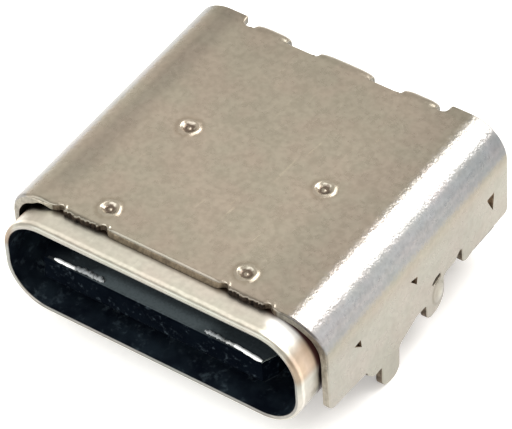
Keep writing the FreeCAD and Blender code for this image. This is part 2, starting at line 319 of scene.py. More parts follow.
def wobble(a, b, k):
    """A smooth, repeatable unevenness between -1 and 1."""
    return (math.sin(a * 21.7 + k) + math.sin(b * 17.3 + 2.1 * k) + math.sin((a + b) * 33.1 + 0.7 * k)) / 3


def relief(s, v):
    """Height of the outer face over the plain fold: welds, score lines, burrs, leg forming."""
    h = 0.0
    a = abs(s)
    if a < 2.6:
        for i, (x, y) in enumerate(WELDS):
            dx, dy = s - x, v - y
            if abs(dx) < 0.6 and abs(dy) < 0.6:
                t = math.atan2(dy, dx)
                d = math.hypot(dx, dy * 1.1) * (1 + 0.035 * math.sin(3 * t + i) + 0.03 * math.sin(5 * t + 2 * i))
                h += 0.026 * bump(d - 0.238, 0.064) - 0.046 * (1 / (1 + math.exp((d - 0.165) / 0.026)))
                h += 0.022 * bump(d, 0.06)
    if v < 1.1 and 1.6 < a < 3.2:
        fade = min(1.0, max(0.0, (a - 1.84) / 0.05)) * min(1.0, max(0.0, (2.90 - a) / 0.05))
        h -= fade * 0.016 / (1 + math.exp((v - 0.838 - 0.008 * wobble(s, 0, 2.0)) / 0.010))
        for x, k in BURRS:
            h += 0.014 * k * bump(math.hypot((s - x) * 0.7, v - 0.730), 0.034)
        for c in (1.75, 2.99):
            h += 0.009 * bump(math.hypot(a - c, v - FRONT_Y + 0.025) - 0.14, 0.035) * (1 + 0.5 * wobble(s, v, c))
    if v > 8.1 and a < 2.9:
        for xa, xb in TABS:
            if xa - 0.06 < s < xb + 0.06:
                k = min(1.0, abs((s - (xa + xb) / 2) / ((xb - xa) / 2)))
                h -= 0.048 * k ** 4 * ease(8.14, 8.34, v)
    if a > S2:
        z = ZT - R - (a - S2)
        if z < -0.6 and 4.7 < v < 5.9:
            h += 0.085 * bump(v - 5.44, 0.16) * bump(z + 1.22, 0.24)
        if z < -1.5 and 2.8 < v < 4.0:
            h += 0.03 * (z + 1.5)
    return h


def outer_point(s, v, h, flat=False):
    p, n, ts, tv = fold(s, v)
    d = 0.0 if flat else relief(s, v)
    k = h + d
    return (p[0] + n[0] * k, p[1] + n[1] * k, p[2] + n[2] * k)


def front_shift(s):
    """The front edge bows: forward across the top, back down the side walls."""
    a = abs(s)
    if s > 0:
        return -0.036 - 0.042 * ease(3.05, 3.35, a) + 0.113 * ease(4.0, 5.1, a)
    return -0.036 - 0.050 * ease(3.05, 3.35, a) + 0.086 * ease(3.9, 5.1, a)


def thick(s, v):
    """The shear left the sheet's lower edge drawn down round the front corners."""
    a = abs(s)
    if s > 0:
        more = 0.01 * ease(3.2, 3.45, a) + 0.05 * ease(4.35, 4.75, a) * ease(5.5, 4.85, a)
    else:
        more = 0.047 * ease(3.60, 4.0, a) * ease(5.2, 4.6, a) - 0.052 * ease(3.2, 3.45, a) * ease(3.88, 3.55, a)
    return T + more * ease(1.0, 0.80, v)


def slant(s, v):
    """The middle of the front edge is sheared at a slant: its lower side stands forward."""
    return 0.05 * ease(1.66, 1.50, abs(s)) if v < FRONT_Y + 0.06 else 0.0


def edge_radius(s, v):
    a = abs(s)
    if v < FRONT_Y + 0.06:
        return 0.042 + 0.055 * ease(1.62, 1.40, a) + (0.014 if s > 0 else 0.056) * ease(3.20, 3.60, a)
    return 0.042


def outer_normal(s, v, sign=1.0):
    p, n, ts, tv = fold(s, v)
    e = 0.004
    gs = (relief(s + e, v) - relief(s - e, v)) / (2 * e)
    gv = (relief(s, v + e) - relief(s, v - e)) / (2 * e)
    return tuple(sign * (n[i] - gs * ts[i] - gv * tv[i]) for i in range(3))


rng = random.Random(7)


def half_outline():
    """Right half of the cut sheet, from the middle of the front edge round to the middle of the back."""
    f = FRONT_Y
    front = run((0, f), [
        ("L", (1.64, f)), ("L", (1.665, f + 0.03)), ("A", (1.75, f + 0.10), (1.835, f + 0.03)),
        ("L", (1.86, f - 0.025)), ("L", (2.885, f - 0.03)),
        ("L", (2.91, f + 0.03)), ("A", (2.99, f + 0.10), (3.07, f + 0.03)), ("L", (3.10, f)),
        ("L", (sz(-1.00), f)),
    ])
    side = run((f, -1.00), [
        ("A", (f + 0.05, -1.14), (f + 0.20, -1.20)),
        ("L", (2.38, -1.29)), ("L", (2.40, -1.44)), ("L", (2.62, -1.68)), ("L", (2.70, SEAT_Z)),
        ("L", (3.00, SEAT_Z)), ("L", (3.00, -2.20)),
        ("A", (3.09, -2.41), (3.32, -2.51)), ("L", (3.46, -2.52)),
        ("A", (3.68, -2.41), (3.76, -2.20)), ("L", (3.75, -1.62)),
        ("L", (3.84, -1.55)), ("L", (4.10, -1.46)), ("L", (4.50, -1.285)),
        ("L", (4.93, -1.30)), ("L", (4.93, -1.66)),
        ("A", (4.99, -1.78), (5.16, -1.84)), ("A", (5.55, -1.70), (5.70, -1.32)),
        ("L", (5.70, -1.02)), ("A", (5.735, -0.925), (5.83, -0.89)),
        ("L", (6.20, -0.885)), ("L", (6.38, -0.72)), ("A", (6.45, -0.68), (6.52, -0.72)),
        ("L", (6.53, -1.13)), ("A", (6.56, -1.20), (6.62, -1.24)),
        ("L", (6.70, -1.265)), ("A", (6.78, -1.25), (6.86, -1.22)), ("L", (7.04, -1.195)),
        ("L", (REAR_Y - 0.16, -1.17)), ("A", (REAR_Y - 0.045, -1.12), (REAR_Y, -1.02)),
    ])
    x1 = TABS[2][1]
    rn = (TAB_SPAN - x1) / 2
    c = REAR_CUT_Y
    rear = run((sz(-1.02), REAR_Y), [
        ("L", (TAB_SPAN + 0.05, REAR_Y)), ("A", (TAB_SPAN + 0.015, REAR_Y - 0.015), (TAB_SPAN, REAR_Y - 0.05)),
        ("L", (TAB_SPAN, c + rn)), ("A", (TAB_SPAN - rn, c), (x1, c + rn)),
        ("L", (x1, V_END - 0.12)), ("A", (x1 - 0.035, V_END - 0.035), (x1 - 0.12, V_END)),
        ("L", (TABS[2][0] + 0.12, V_END)), ("A", (TABS[2][0] + 0.035, V_END - 0.035), (TABS[2][0], V_END - 0.12)),
        ("L", (TABS[2][0], c + 0.10)), ("A", (TABS[2][0] - 0.03, c + 0.03), (TABS[2][0] - 0.10, c)),
        ("L", (TABS[1][1] + 0.10, c)), ("A", (TABS[1][1] + 0.03, c + 0.03), (TABS[1][1], c + 0.10)),
        ("L", (TABS[1][1], V_END - 0.12)), ("A", (TABS[1][1] - 0.035, V_END - 0.035), (TABS[1][1] - 0.12, V_END)),
        ("L", (0, V_END)),
    ])
    return front[:-1] + [(sz(z), y) for y, z in side[:-1]] + rear


def mirrored(half):
    """A closed loop from a half that starts and ends on s = 0."""
    return half + [(-s, v) for s, v in reversed(half[1:-1])]


def build_outer(materials):
    b = Builder()
    loop = soften(mirrored(half_outline()), 0.05)
    # the snapped stubs have a torn edge
    torn = []
    for s, v in loop:
        if 1.87 < abs(s) < 2.88 and v < FRONT_Y + 0.02:
            v += (1.5 if s < 0 else 0.8) * rng.uniform(-0.026, 0.022) + 0.022 * wobble(s * 0.55, 0.0, 1.5)
        if v < 1.1:
            v += front_shift(s) * ease(1.1, 0.95, v)
        torn.append((s, v))
    outline = np.array(torn)
    slot = [(5.20, -0.80), (5.28, -0.90), (5.58, -0.815), (5.55, -0.69), (5.36, -0.70)]
    holes = []
    for sg in (1, -1):
        q = [(sg * sz(z), y) for y, z in slot]
        q = run(q[0], [("L", p) for p in q[1:] + q[:1]], 0.03)[:-1]
        area = sum(x0 * y1 - x1 * y0 for (x0, y0), (x1, y1) in zip(q, q[1:] + q[:1]))
        if area > 0:
            q = q[::-1]
        holes.append(np.array(q))
    loops = [outline] + holes
    normals = [loop_normals(lp) for lp in loops]

    lances = []
    for tri in LANCES:
        for sg in (1, -1):
            q = [(sg * sz(z), y) for y, z in tri]
            ids = [0, 1, 2]
            area = sum(q[i][0] * q[(i + 1) % 3][1] - q[(i + 1) % 3][0] * q[i][1] for i in ids)
            if area < 0:
                ids = [0, 2, 1]
            lances.append([q[i] for i in ids])

    # inner points: close rows across the bends, a wide grid on the flats
    cand = []
    rows = lambda a, c, n: np.linspace(a, c, n)
    grid = lambda xs, ys: np.stack(np.meshgrid(xs, ys), -1).reshape(-1, 2)
    cand.append(grid(rows(-S1 + 0.15, S1 - 0.15, 25), rows(0.95, 8.1, 26)))
    for sg in (1, -1):
        cand.append(grid(sg * rows(S1, S2, 22), rows(0.84, 8.5, 40)))
        cand.append(grid(sg * rows(S2 + 0.09, sz(-1.15), 8), rows(0.9, 8.45, 26)))
        cand.append(grid(sg * rows(sz(-1.15), sz(-2.45), 18), rows(2.45, 3.75, 14)))
        cand.append(grid(sg * rows(sz(-0.6), sz(-1.8), 24), rows(4.75, 5.9, 26)))
    for xa, xb in TABS:
        n = max(3, int((xb - xa) / 0.085))
        cand.append(grid(rows(xa + 0.065, xb - 0.065, n), rows(TAB_Y0 - 0.12, TAB_Y0 + TAB_R * math.pi / 2, 16)))
        cand.append(grid(rows(xa + 0.08, xb - 0.08, n), rows(TAB_Y0 + TAB_R * math.pi / 2 + 0.1, V_END - 0.1, 6)))
    fine_rows = []
    for sg in (1, -1):
        fine_rows.append(grid(sg * rows(1.60, 3.16, 70), rows(0.752, 0.968, 22)))
    cand = np.concatenate(cand)
    cand = cand[~((cand[:, 1] < 1.02) & (np.abs(cand[:, 0]) < 3.2) & (np.abs(cand[:, 0]) > 1.55))]
    for x, y in WELDS:
        d = np.hypot(cand[:, 0] - x, cand[:, 1] - y)
        cand = cand[d > 0.46]
    rings = []
    for x, y in WELDS:
        rings.append([(x, y)])
        for k in range(1, 17):
            rr = 0.0275 * k
            n = max(8, int(2 * math.pi * rr / 0.045))
            rings.append([(x + rr * math.cos(6.28319 * (j + 0.5 * (k % 2)) / n), y + rr * math.sin(6.28319 * (j + 0.5 * (k % 2)) / n)) for j in range(n)])
    rings = np.concatenate([np.array(r) for r in rings])
    extra = len(rings) + sum(len(f) for f in fine_rows)
    cand = np.concatenate([cand] + fine_rows + [rings])

    rb = 0.012
    radii = [np.array([[edge_radius(*q)] for q in lp]) for lp in loops]

    # lance outlines are holes in the outer face only
    lance_loops = []
    for q in lances:
        lp = run(q[0], [("L", q[1]), ("L", q[2]), ("L", q[0])], 0.035)[:-1]
        lance_loops.append(np.array(lp))

    top = [inset(lp, n, r) for lp, n, r in zip(loops, normals, radii)]
    pts, tris = triangulate(top + [lp[::-1] for lp in lance_loops], cand, 0.012)
    for t in tris:
        b.face([(outer_point(*pts[i], 0), outer_normal(*pts[i])) for i in t], 0)

    # pockets of the lances: a floor that slopes in from the tip, and cut walls
    for q, lp in zip(lances, lance_loops):
        tip = min(range(3), key=lambda i: q[i][1])
        t0 = np.array(q[tip])
        far = (np.array(q[(tip + 1) % 3]) + np.array(q[(tip + 2) % 3])) / 2
        ax = far - t0
        e = np.array(q[(tip + 2) % 3]) - np.array(q[(tip + 1) % 3])
        nrm = np.array([-e[1], e[0]])
        if nrm @ ax < 0:
            nrm = -nrm
        dist = nrm @ (np.array(q[(tip + 1) % 3]) - t0)
        depth = lambda x: -LANCE_DEPTH * float(np.clip(nrm @ (np.array(x) - t0) / dist, 0, 1))
        pp, tt = triangulate([lp], np.zeros((0, 2)), 0.01)
        for t in tt:
            c = [outer_point(*pp[i], depth(pp[i])) for i in t]
            u = np.cross(np.array(c[1]) - c[0], np.array(c[2]) - c[0])
            if u @ np.array(fold(*lp.mean(0))[1]) < 0:
                u = -u
            b.face([(x, tuple(u)) for x in c], 4)
        mid = lp.mean(0)
        for i in range(len(lp)):
            a, c = lp[i], lp[(i + 1) % len(lp)]
            quad = [outer_point(*a, 0), outer_point(*c, 0), outer_point(*c, depth(c)), outer_point(*a, depth(a))]
            u = np.cross(np.array(quad[2]) - quad[0], np.array(quad[3]) - quad[1])
            if np.linalg.norm(u) > 1e-9:
                if u @ (np.array(outer_point(*mid, 0)) - quad[0]) < 0:
                    u = -u
                b.face([(x, tuple(u)) for x in quad], 4)

    # rolled-over upper edge, cut face and lower edge
    K = 4
    for lp, nn, tp, rr in zip(loops, normals, top, radii):
        n_pts = len(lp)
        low = [(q[0], q[1] - slant(q[0], q[1])) for q in inset(lp, nn, rb)]

        def ring(i, kind, k=0):
            s, v = lp[i]
            p, n, ts, tv = fold(s, v)
            out = tuple(-(nn[i][0] * ts[c] + nn[i][1] * tv[c]) for c in range(3))
            if kind == "roll":
                a = k / K * math.pi / 2
                q = tp[i] + (lp[i] - tp[i]) * math.sin(a)
                h = -float(rr[i][0]) * (1 - math.cos(a))
                return outer_point(q[0], q[1], h), tuple(n[c] * math.cos(a) + out[c] * math.sin(a) for c in range(3))
            if kind == "cut":
                return outer_point(s, v - slant(s, v), -thick(s, v) + rb), out
            q = low[i]
            return outer_point(q[0], q[1], -thick(q[0], q[1])), tuple(-n[c] for c in range(3))

        hole = lp is not loops[0]
        for i in range(n_pts):
            j = (i + 1) % n_pts
            s, v = lp[i]
            a_s, front = abs(s), v < FRONT_Y + 0.06
            cut_mat = 3 if front and 1.86 < a_s < 2.9 else 5 if (front and a_s > 3.25) or hole or (v > 8.2 and a_s < 3.1) else 6 if front and a_s < 1.66 else 2
            for k in range(K):
                c = [ring(i, "roll", k), ring(i, "roll", k + 1), ring(j, "roll", k + 1), ring(j, "roll", k)]
                b.face(c, 0 if k < 3 else cut_mat if cut_mat in (5, 6) else 2)
            c = [ring(i, "roll", K), ring(i, "cut"), ring(j, "cut"), ring(j, "roll", K)]
            b.face(c, cut_mat)
            c = [ring(i, "cut"), ring(i, "low"), ring(j, "low"), ring(j, "cut")]
            b.face(c, 2)

    low = [np.array([(q[0], q[1] - slant(q[0], q[1])) for q in inset(lp, n, rb)]) for lp, n in zip(loops, normals)]
    flat_cand = cand[:len(cand) - extra]
    pts, tris = triangulate(low, flat_cand, 0.03)
    for t in tris:
        c = []
        for i in reversed(t):
            p, n, ts, tv = fold(*pts[i])
            c.append((outer_point(*pts[i], -thick(*pts[i])), tuple(-x for x in n)))
        b.face(c, 1)
    return b.make("shell_outer", materials)


# =============================================================================
# Inner shell: a drawn tube with a rounded rim
# =============================================================================
def build_inner(materials):
    b = Builder()
    xs_top = sorted(set([round(x, 4) for x in np.linspace(-(MOUTH_HW - MOUTH_R), MOUTH_HW - MOUTH_R, 25)]))
    hw, hh, r = MOUTH_HW, MOUTH_HH, MOUTH_R

    # a section is a list of (unit position, normal), counter-clockwise seen from the front
    sec = []
    for i in range(5):
        sec.append(("side", 1, -1 + 2 * i / 5))
    n_c = 22
    for k in range(n_c):
        sec.append(("arc", 0, math.pi / 2 * k / n_c))
    for i in range(24):
        sec.append(("top", 1, 1 - 2 * i / 24))
    for k in range(n_c):
        sec.append(("arc", 1, math.pi / 2 + math.pi / 2 * k / n_c))
    for i in range(5):
        sec.append(("side", -1, 1 - 2 * i / 5))
    for k in range(n_c):
        sec.append(("arc", 2, math.pi + math.pi / 2 * k / n_c))
    # the floor's divisions meet the window's edges
    flat = hw - r
    for x in [-flat] + list(np.linspace(-flat, flat, 25)[1:-1]):
        sec.append(("floor", -1, x / flat))
    for k in range(n_c):
        sec.append(("arc", 3, 1.5 * math.pi + math.pi / 2 * k / n_c))

    centres = [(flat, hh - r), (-flat, hh - r), (-flat, -(hh - r)), (flat, -(hh - r))]

    def at(q, d):
        kind, a, c = q
        if kind == "side":
            return (a * (hw + d), c * (hh - r)), (a, 0)
        if kind == "top":
            return (c * flat, hh + d), (0, 1)
        if kind == "floor":
            return (c * flat, -(hh + d)), (0, -1)
        cx, cz = centres[a]
        return (cx + (r + d) * math.cos(c), cz + (r + d) * math.sin(c)), (math.cos(c), math.sin(c))

    ri, ro = 0.03, 0.075
    prof = []   # (d, y, normal out of the section, normal along y, material)
    for y in [INNER_LEN] + list(np.linspace(WINDOW_Y, 0.8, 8)) + [0.4, 0.15, ri]:
        prof.append((0.0, y, -1.0, 0.0, 1))
    for k in range(1, 5):
        a = k / 4 * math.pi / 2
        prof.append((ri * (1 - math.cos(a)), ri * (1 - math.sin(a)), -math.cos(a), -math.sin(a), 2))
    prof.append((INNER_T - ro, 0.0, 0.0, -1.0, 2))
    ry = 0.115
    for k in range(1, 10):
        a = k / 9 * math.pi / 2
        prof.append((INNER_T - ro + ro * math.sin(a), ry * (1 - math.cos(a)), math.sin(a) * ry, -math.cos(a) * ro, 0))
    for y in [0.14, 0.2, 0.4, 0.8] + list(np.linspace(1.2, WINDOW_Y, 8)) + [INNER_LEN]:
        prof.append((INNER_T, y, 1.0, 0.0, 0))

    def corner(i, j):
        d, y, nx, ny, m = prof[j]
        (x, z), (ux, uz) = at(sec[i % len(sec)], d)
        return (x, y, z), (ux * nx, ny, uz * nx)

    n = len(sec)
    win = INNER_LEN - 1e-6
    for j in range(len(prof) - 1):
        y_mid = (prof[j][1] + prof[j + 1][1]) / 2
        for i in range(n):
            c = [corner(i, j), corner(i + 1, j), corner(i + 1, j + 1), corner(i, j + 1)]
            x_mid = (c[0][0][0] + c[1][0][0]) / 2
            z_mid = (c[0][0][2] + c[1][0][2]) / 2
            if y_mid > WINDOW_Y and z_mid < -0.9 and abs(x_mid) < flat + 0.01:
                continue
            b.face(c, prof[j + 1][4])
    # rear edge of the tube
    last, first = len(prof) - 1, 0
    for i in range(n):
        a0, a1 = corner(i, last), corner(i + 1, last)
        c0, c1 = corner(i, first), corner(i + 1, first)
        x_mid = (a0[0][0] + a1[0][0]) / 2
        z_mid = (a0[0][2] + a1[0][2]) / 2
        if z_mid < -0.9 and abs(x_mid) < flat + 0.01:
            continue
        b.face([(p, (0, 1, 0)) for p in (a0[0], a1[0], c1[0], c0[0])], 2)
    # window walls
    zi, zo = -hh, -(hh + INNER_T)
    for i in range(n):
        kind = sec[i][0]
        if kind == "floor":
            (xa, _), _ = at(sec[i], 0)
            (xb, _), _ = at(sec[(i + 1) % n], 0)
            b.face([(p, (0, 1, 0)) for p in ((xa, WINDOW_Y, zi), (xa, WINDOW_Y, zo), (xb, WINDOW_Y, zo), (xb, WINDOW_Y, zi))], 2)
    for sg in (-1, 1):
        q = [(sg * flat, WINDOW_Y, zi), (sg * flat, INNER_LEN, zi), (sg * flat, INNER_LEN, zo), (sg * flat, WINDOW_Y, zo)]
        if sg > 0:
            q = q[::-1]
        b.face([(p, (-sg, 0, 0)) for p in q], 2)
    return b.make("shell_inner", materials)


# =============================================================================
# Materials. Every coordinate below is in millimetres in the part's own frame.
# =============================================================================
class Graph:
    def __init__(self, name):
        self.m = bpy.data.materials.new(name)
        self.m.use_nodes = True
        self.nt = self.m.node_tree
        self.p = self.nt.nodes["Principled BSDF"]
        tc = self.nt.nodes.new("ShaderNodeTexCoord")
        self.mm = self.vec("SCALE", tc.outputs["Object"], scale=1000.0)
        sep = self.nt.nodes.new("ShaderNodeSeparateXYZ")
        self.nt.links.new(self.mm, sep.inputs[0])
        self.x, self.y, self.z = sep.outputs

    def put(self, sock, val):
        if hasattr(val, "links") or isinstance(val, bpy.types.NodeSocket):
            self.nt.links.new(val, sock)
        else:
            sock.default_value = val

    def vec(self, op, a, b=None, scale=None):
        n = self.nt.nodes.new("ShaderNodeVectorMath")
        n.operation = op
        self.put(n.inputs[0], a)
        if b is not None:
            self.put(n.inputs[1], b)
        if scale is not None:
            n.inputs["Scale"].default_value = scale
        return n.outputs["Value"] if op in ("LENGTH", "DISTANCE", "DOT_PRODUCT") else n.outputs["Vector"]

    def math(self, op, a, b=None, c=None):
        n = self.nt.nodes.new("ShaderNodeMath")
        n.operation = op
        self.put(n.inputs[0], a)
        if b is not None:
            self.put(n.inputs[1], b)
        if c is not None:
            self.put(n.inputs[2], c)
        return n.outputs[0]

    def noise(self, vector, scale, detail=2.0, rough=0.5, distortion=0.0):
        n = self.nt.nodes.new("ShaderNodeTexNoise")
        self.put(n.inputs["Vector"], vector)
        n.inputs["Scale"].default_value = scale
        n.inputs["Detail"].default_value = detail
        n.inputs["Roughness"].default_value = rough
        n.inputs["Distortion"].default_value = distortion
        return n.outputs["Fac"]

    def remap(self, v, a, b, c, d, smooth=False):
        n = self.nt.nodes.new("ShaderNodeMapRange")
        n.interpolation_type = "SMOOTHSTEP" if smooth else "LINEAR"
        self.put(n.inputs["Value"], v)
        for k, val in zip(("From Min", "From Max", "To Min", "To Max"), (a, b, c, d)):
            self.put(n.inputs[k], val)
        return n.outputs["Result"]

    def mix(self, f, a, b, blend="MIX"):
        n = self.nt.nodes.new("ShaderNodeMix")
        n.data_type = "RGBA"
        n.blend_type = blend
        n.clamp_factor = True
        self.put(n.inputs[0], f)
        self.put(n.inputs[6], a if not isinstance(a, tuple) else (*a, 1.0))
        self.put(n.inputs[7], b if not isinstance(b, tuple) else (*b, 1.0))
        return n.outputs[2]

    def combine(self, x, y, z):
        n = self.nt.nodes.new("ShaderNodeCombineXYZ")
        for s, v in zip(n.inputs, (x, y, z)):
            self.put(s, v)
        return n.outputs[0]

    def bumps(self, height, dist, strength=1.0, normal=None):
        n = self.nt.nodes.new("ShaderNodeBump")
        n.inputs["Strength"].default_value = strength
        n.inputs["Distance"].default_value = dist
        self.put(n.inputs["Height"], height)
        if normal is not None:
            self.put(n.inputs["Normal"], normal)
        return n.outputs["Normal"]

    def out(self, color, metallic, rough, normal=None, specular=None):
        self.put(self.p.inputs["Base Color"], color)
        self.p.inputs["Metallic"].default_value = metallic
        self.put(self.p.inputs["Roughness"], rough)
        if normal is not None:
            self.put(self.p.inputs["Normal"], normal)
        if specular is not None:
            self.p.inputs["Specular IOR Level"].default_value = specular
        return self.m

    def stretched(self, sx, sy, sz, turn=0.0):
        """Coordinates squeezed by these factors, after a turn about Z."""
        if turn:
            c, s = math.cos(turn), math.sin(turn)
            x = self.math("SUBTRACT", self.math("MULTIPLY", self.x, c), self.math("MULTIPLY", self.y, s))
            y = self.math("ADD", self.math("MULTIPLY", self.x, s), self.math("MULTIPLY", self.y, c))
        else:
            x, y = self.x, self.y
        return self.combine(self.math("MULTIPLY", x, sx), self.math("MULTIPLY", y, sy), self.math("MULTIPLY", self.z, sz))

    def stroke(self, a, b, width):
        """1 on a straight scratch from a to b on the top face, fading at its sides and ends."""
        dx, dy = b[0] - a[0], b[1] - a[1]
        l = math.hypot(dx, dy)
        ux, uy = dx / l, dy / l
        px = self.math("SUBTRACT", self.x, a[0])
        py = self.math("SUBTRACT", self.y, a[1])
        t = self.math("ADD", self.math("MULTIPLY", px, ux), self.math("MULTIPLY", py, uy))
        d = self.math("ABSOLUTE", self.math("SUBTRACT", self.math("MULTIPLY", px, uy), self.math("MULTIPLY", py, ux)))
        side = self.remap(d, 0.0, width, 1.0, 0.0, True)
        e = min(0.25, l * 0.35)
        ends = self.math("MULTIPLY", self.remap(t, 0.0, e, 0.0, 1.0, True), self.remap(t, l - e, l, 1.0, 0.0, True))
        return self.math("MULTIPLY", side, ends)


def scaled(c, k):
    k = k if isinstance(k, tuple) else (k, k, k)
    return tuple(min(1.0, x * y) for x, y in zip(c, k))


def nickel_shell(name, base, rough, marks=True, grain=1.0, tube=False):
    """Matt nickel plate on stamped steel: satin grain, cloudy tint, fine scratches, with painted highlights,
    reflections and shade laid into the colour.
    """
    g = Graph(name)
    cloud = g.noise(g.mm, 0.55, 3.0, 0.55)
    tint = g.noise(g.vec("ADD", g.mm, (11.0, 3.0, 7.0)), 1.0, 2.0, 0.5)
    patch = g.noise(g.vec("ADD", g.mm, (5.0, 31.0, 2.0)), 2.6, 1.0, 0.5)
    fine = g.noise(g.mm, 7.0, 1.0, 0.5)
    blotch = g.noise(g.vec("ADD", g.mm, (3.0, 8.0, 1.0)), 11.0, 1.0, 0.6)
    streak = g.noise(g.stretched(9.0, 0.8, 9.0), 1.0, 3.0, 0.6)
    streak2 = g.noise(g.stretched(11.0, 0.7, 11.0, 0.45), 1.0, 3.0, 0.6)

    def times(c, k, f=1.0):
        return g.mix(f, c, g.mix(1.0, c, k, "MULTIPLY"))

    col = g.mix(g.remap(tint, 0.40, 0.62, 0.0, 1.0), scaled(base, (0.985, 1.004, 0.99)), scaled(base, (1.02, 0.993, 0.99)))
    col = times(col, (1.07, 1.07, 1.07), g.remap(cloud, 0.3, 0.7, 0.0, 1.0))
    col = times(col, (0.93, 0.925, 0.915), g.remap(patch, 0.48, 0.75, 0.0, 0.7))
    col = g.mix(g.remap(fine, 0.35, 0.65, 0.0, 1.0), times(col, (0.955, 0.955, 0.952)), times(col, (1.045, 1.045, 1.045)))
    r = g.math("ADD", rough, g.remap(fine, 0.3, 0.7, -0.02, 0.025))
    r = g.math("ADD", r, g.remap(patch, 0.35, 0.7, -0.015, 0.02))
    hair = g.math("MAXIMUM", g.remap(streak, 0.66, 0.74, 0.0, 1.0, True), g.remap(streak2, 0.67, 0.75, 0.0, 0.9, True))
    ax = g.math("ABSOLUTE", g.x)
    if marks:
        top = g.remap(g.z, 1.2, 1.5, 0.0, 1.0)
        # painted shade: the sheet is painted a little darker where each bend begins, standing in for a dark reflection
        # there
        left = g.math("MULTIPLY", g.remap(g.x, -2.9, -3.4, 0.0, 1.0, True), g.remap(g.x, -3.56, -3.8, 1.0, 0.0, True))
        col = times(col, (0.80, 0.80, 0.81), g.math("MULTIPLY", g.math("MULTIPLY", left, g.remap(g.y, 0.9, 1.8, 0.25, 1.0, True)), top))
        # painted shading: the sheet is painted slightly lighter at the front and darker towards the rear
        col = g.mix(1.0, col, g.remap(g.y, 4.6, 8.2, 1.035, 0.91), "MULTIPLY")
        # painted shade: the same darkening where the right-hand bend begins
        right = g.math("MULTIPLY", g.remap(g.x, 1.7, 3.2, 0.0, 1.0, True), g.remap(g.x, 3.5, 3.75, 1.0, 0.0, True))
        col = times(col, (0.87, 0.87, 0.875), g.math("MULTIPLY", right, top))
        # painted reflections and shade round the outside of each bend: greyer, bluish and darker bands laid into the
        # colour stand in for what the bends reflect
        edge = g.math("ADD", g.remap(blotch, 0.3, 0.7, -0.05, 0.05), g.remap(fine, 0.3, 0.7, -0.015, 0.015))
        zz = g.math("ADD", g.z, edge)
        bend = g.math("MULTIPLY", g.remap(zz, 1.40, 1.33, 0.0, 1.0, True), g.remap(zz, 0.70, 0.93, 0.0, 1.0, True))
        bend = g.math("MULTIPLY", bend, g.remap(ax, 4.15, 4.3, 0.0, 1.0))
        col = times(col, (0.865, 0.868, 0.872), bend)
        cool = g.math("MULTIPLY", g.remap(zz, 1.54, 1.46, 0.0, 1.0, True), g.remap(zz, 0.70, 0.93, 0.0, 1.0, True))
        col = times(col, (0.925, 1.0, 1.19), g.math("MULTIPLY", cool, g.remap(ax, 3.9, 4.1, 0.0, 1.0)))
        glare = g.math("MULTIPLY", g.remap(zz, 1.46, 1.54, 0.0, 1.0, True), g.remap(g.math("ADD", g.x, edge), 3.50, 3.72, 0.0, 1.0, True))
        col = times(col, (0.935, 0.985, 1.12), glare)
        foot = g.math("MULTIPLY", g.remap(zz, 1.08, 0.95, 0.0, 1.0, True), g.remap(zz, 0.56, 0.74, 0.0, 1.0, True))
        col = times(col, (0.87, 0.90, 0.91), g.math("MULTIPLY", foot, g.remap(ax, 4.3, 4.45, 0.0, 1.0)))
        col = times(col, (0.985, 1.012, 1.065), g.math("MULTIPLY", g.remap(g.z, 0.7, 0.3, 0.0, 1.0, True), g.remap(ax, 4.4, 4.5, 0.0, 1.0)))
        wall = g.math("MULTIPLY", g.remap(zz, 1.26, 1.12, 0.0, 1.0, True), g.remap(ax, 4.25, 4.4, 0.0, 1.0))
        col = times(col, (0.86, 0.86, 0.862), wall)
        shade = g.math("MULTIPLY", g.remap(g.x, -3.97, -4.10, 0.0, 1.0, True), g.remap(g.z, 0.9, 1.1, 0.0, 1.0))
        col = times(col, (0.80, 0.80, 0.79), shade)
        # painted shade: the rolled-over front edge is painted darker to tone down its highlight, along the top and
        # where the edge runs down each side
        painted_edge_shade = g.math("MULTIPLY", g.remap(g.y, 0.745, 0.825, 1.0, 0.0, True), g.remap(ax, 3.1, 3.35, 1.0, 0.0))
        col = times(col, (0.48, 0.48, 0.48), painted_edge_shade)
        back = g.math("SUBTRACT", g.y, g.remap(g.z, 1.45, 0.75, 0.0, 0.085))
        painted_edge_shade = g.math("MULTIPLY", g.remap(back, 0.705, 0.765, 1.0, 0.0, True), g.remap(g.x, 3.2, 3.4, 0.0, 1.0))
        col = times(col, (0.40, 0.40, 0.405), g.math("MULTIPLY", painted_edge_shade, g.remap(g.z, -0.2, 0.4, 0.0, 1.0, True)))
        col = times(col, (0.58, 0.58, 0.58), g.math("MULTIPLY", painted_edge_shade, g.remap(g.z, 1.15, 1.35, 0.0, 1.0, True)))
        painted_edge_shade = g.math("MULTIPLY", g.remap(g.y, 0.73, 0.81, 1.0, 0.0, True), g.remap(g.x, -3.2, -3.4, 0.0, 1.0))
        col = times(col, (0.58, 0.58, 0.58), g.math("MULTIPLY", painted_edge_shade, g.remap(g.x, -3.8, -3.6, 0.45, 1.0, True)))
        plain = g.math("MULTIPLY", g.remap(g.z, 0.9, 0.6, 0.0, 1.0, True), g.remap(ax, 4.3, 4.45, 0.0, 1.0))
        col = times(col, (0.955, 0.968, 0.96), plain)
        near = g.math("MULTIPLY", g.remap(g.y, 3.2, 1.6, 0.0, 1.0, True), g.remap(g.x, 4.35, 4.5, 0.0, 1.0))
        near = g.math("MULTIPLY", near, g.remap(g.z, 1.0, 0.7, 0.0, 1.0, True))
        col = times(col, (0.945, 0.955, 0.965), near)
        rear = g.math("MULTIPLY", g.remap(g.y, 6.6, 8.0, 0.0, 1.0, True), g.remap(g.x, 4.35, 4.5, 0.0, 1.0))
        rear = g.math("MULTIPLY", rear, g.remap(g.z, 0.75, 0.45, 0.0, 1.0, True))
        col = times(col, (1.09, 1.10, 1.10), rear)
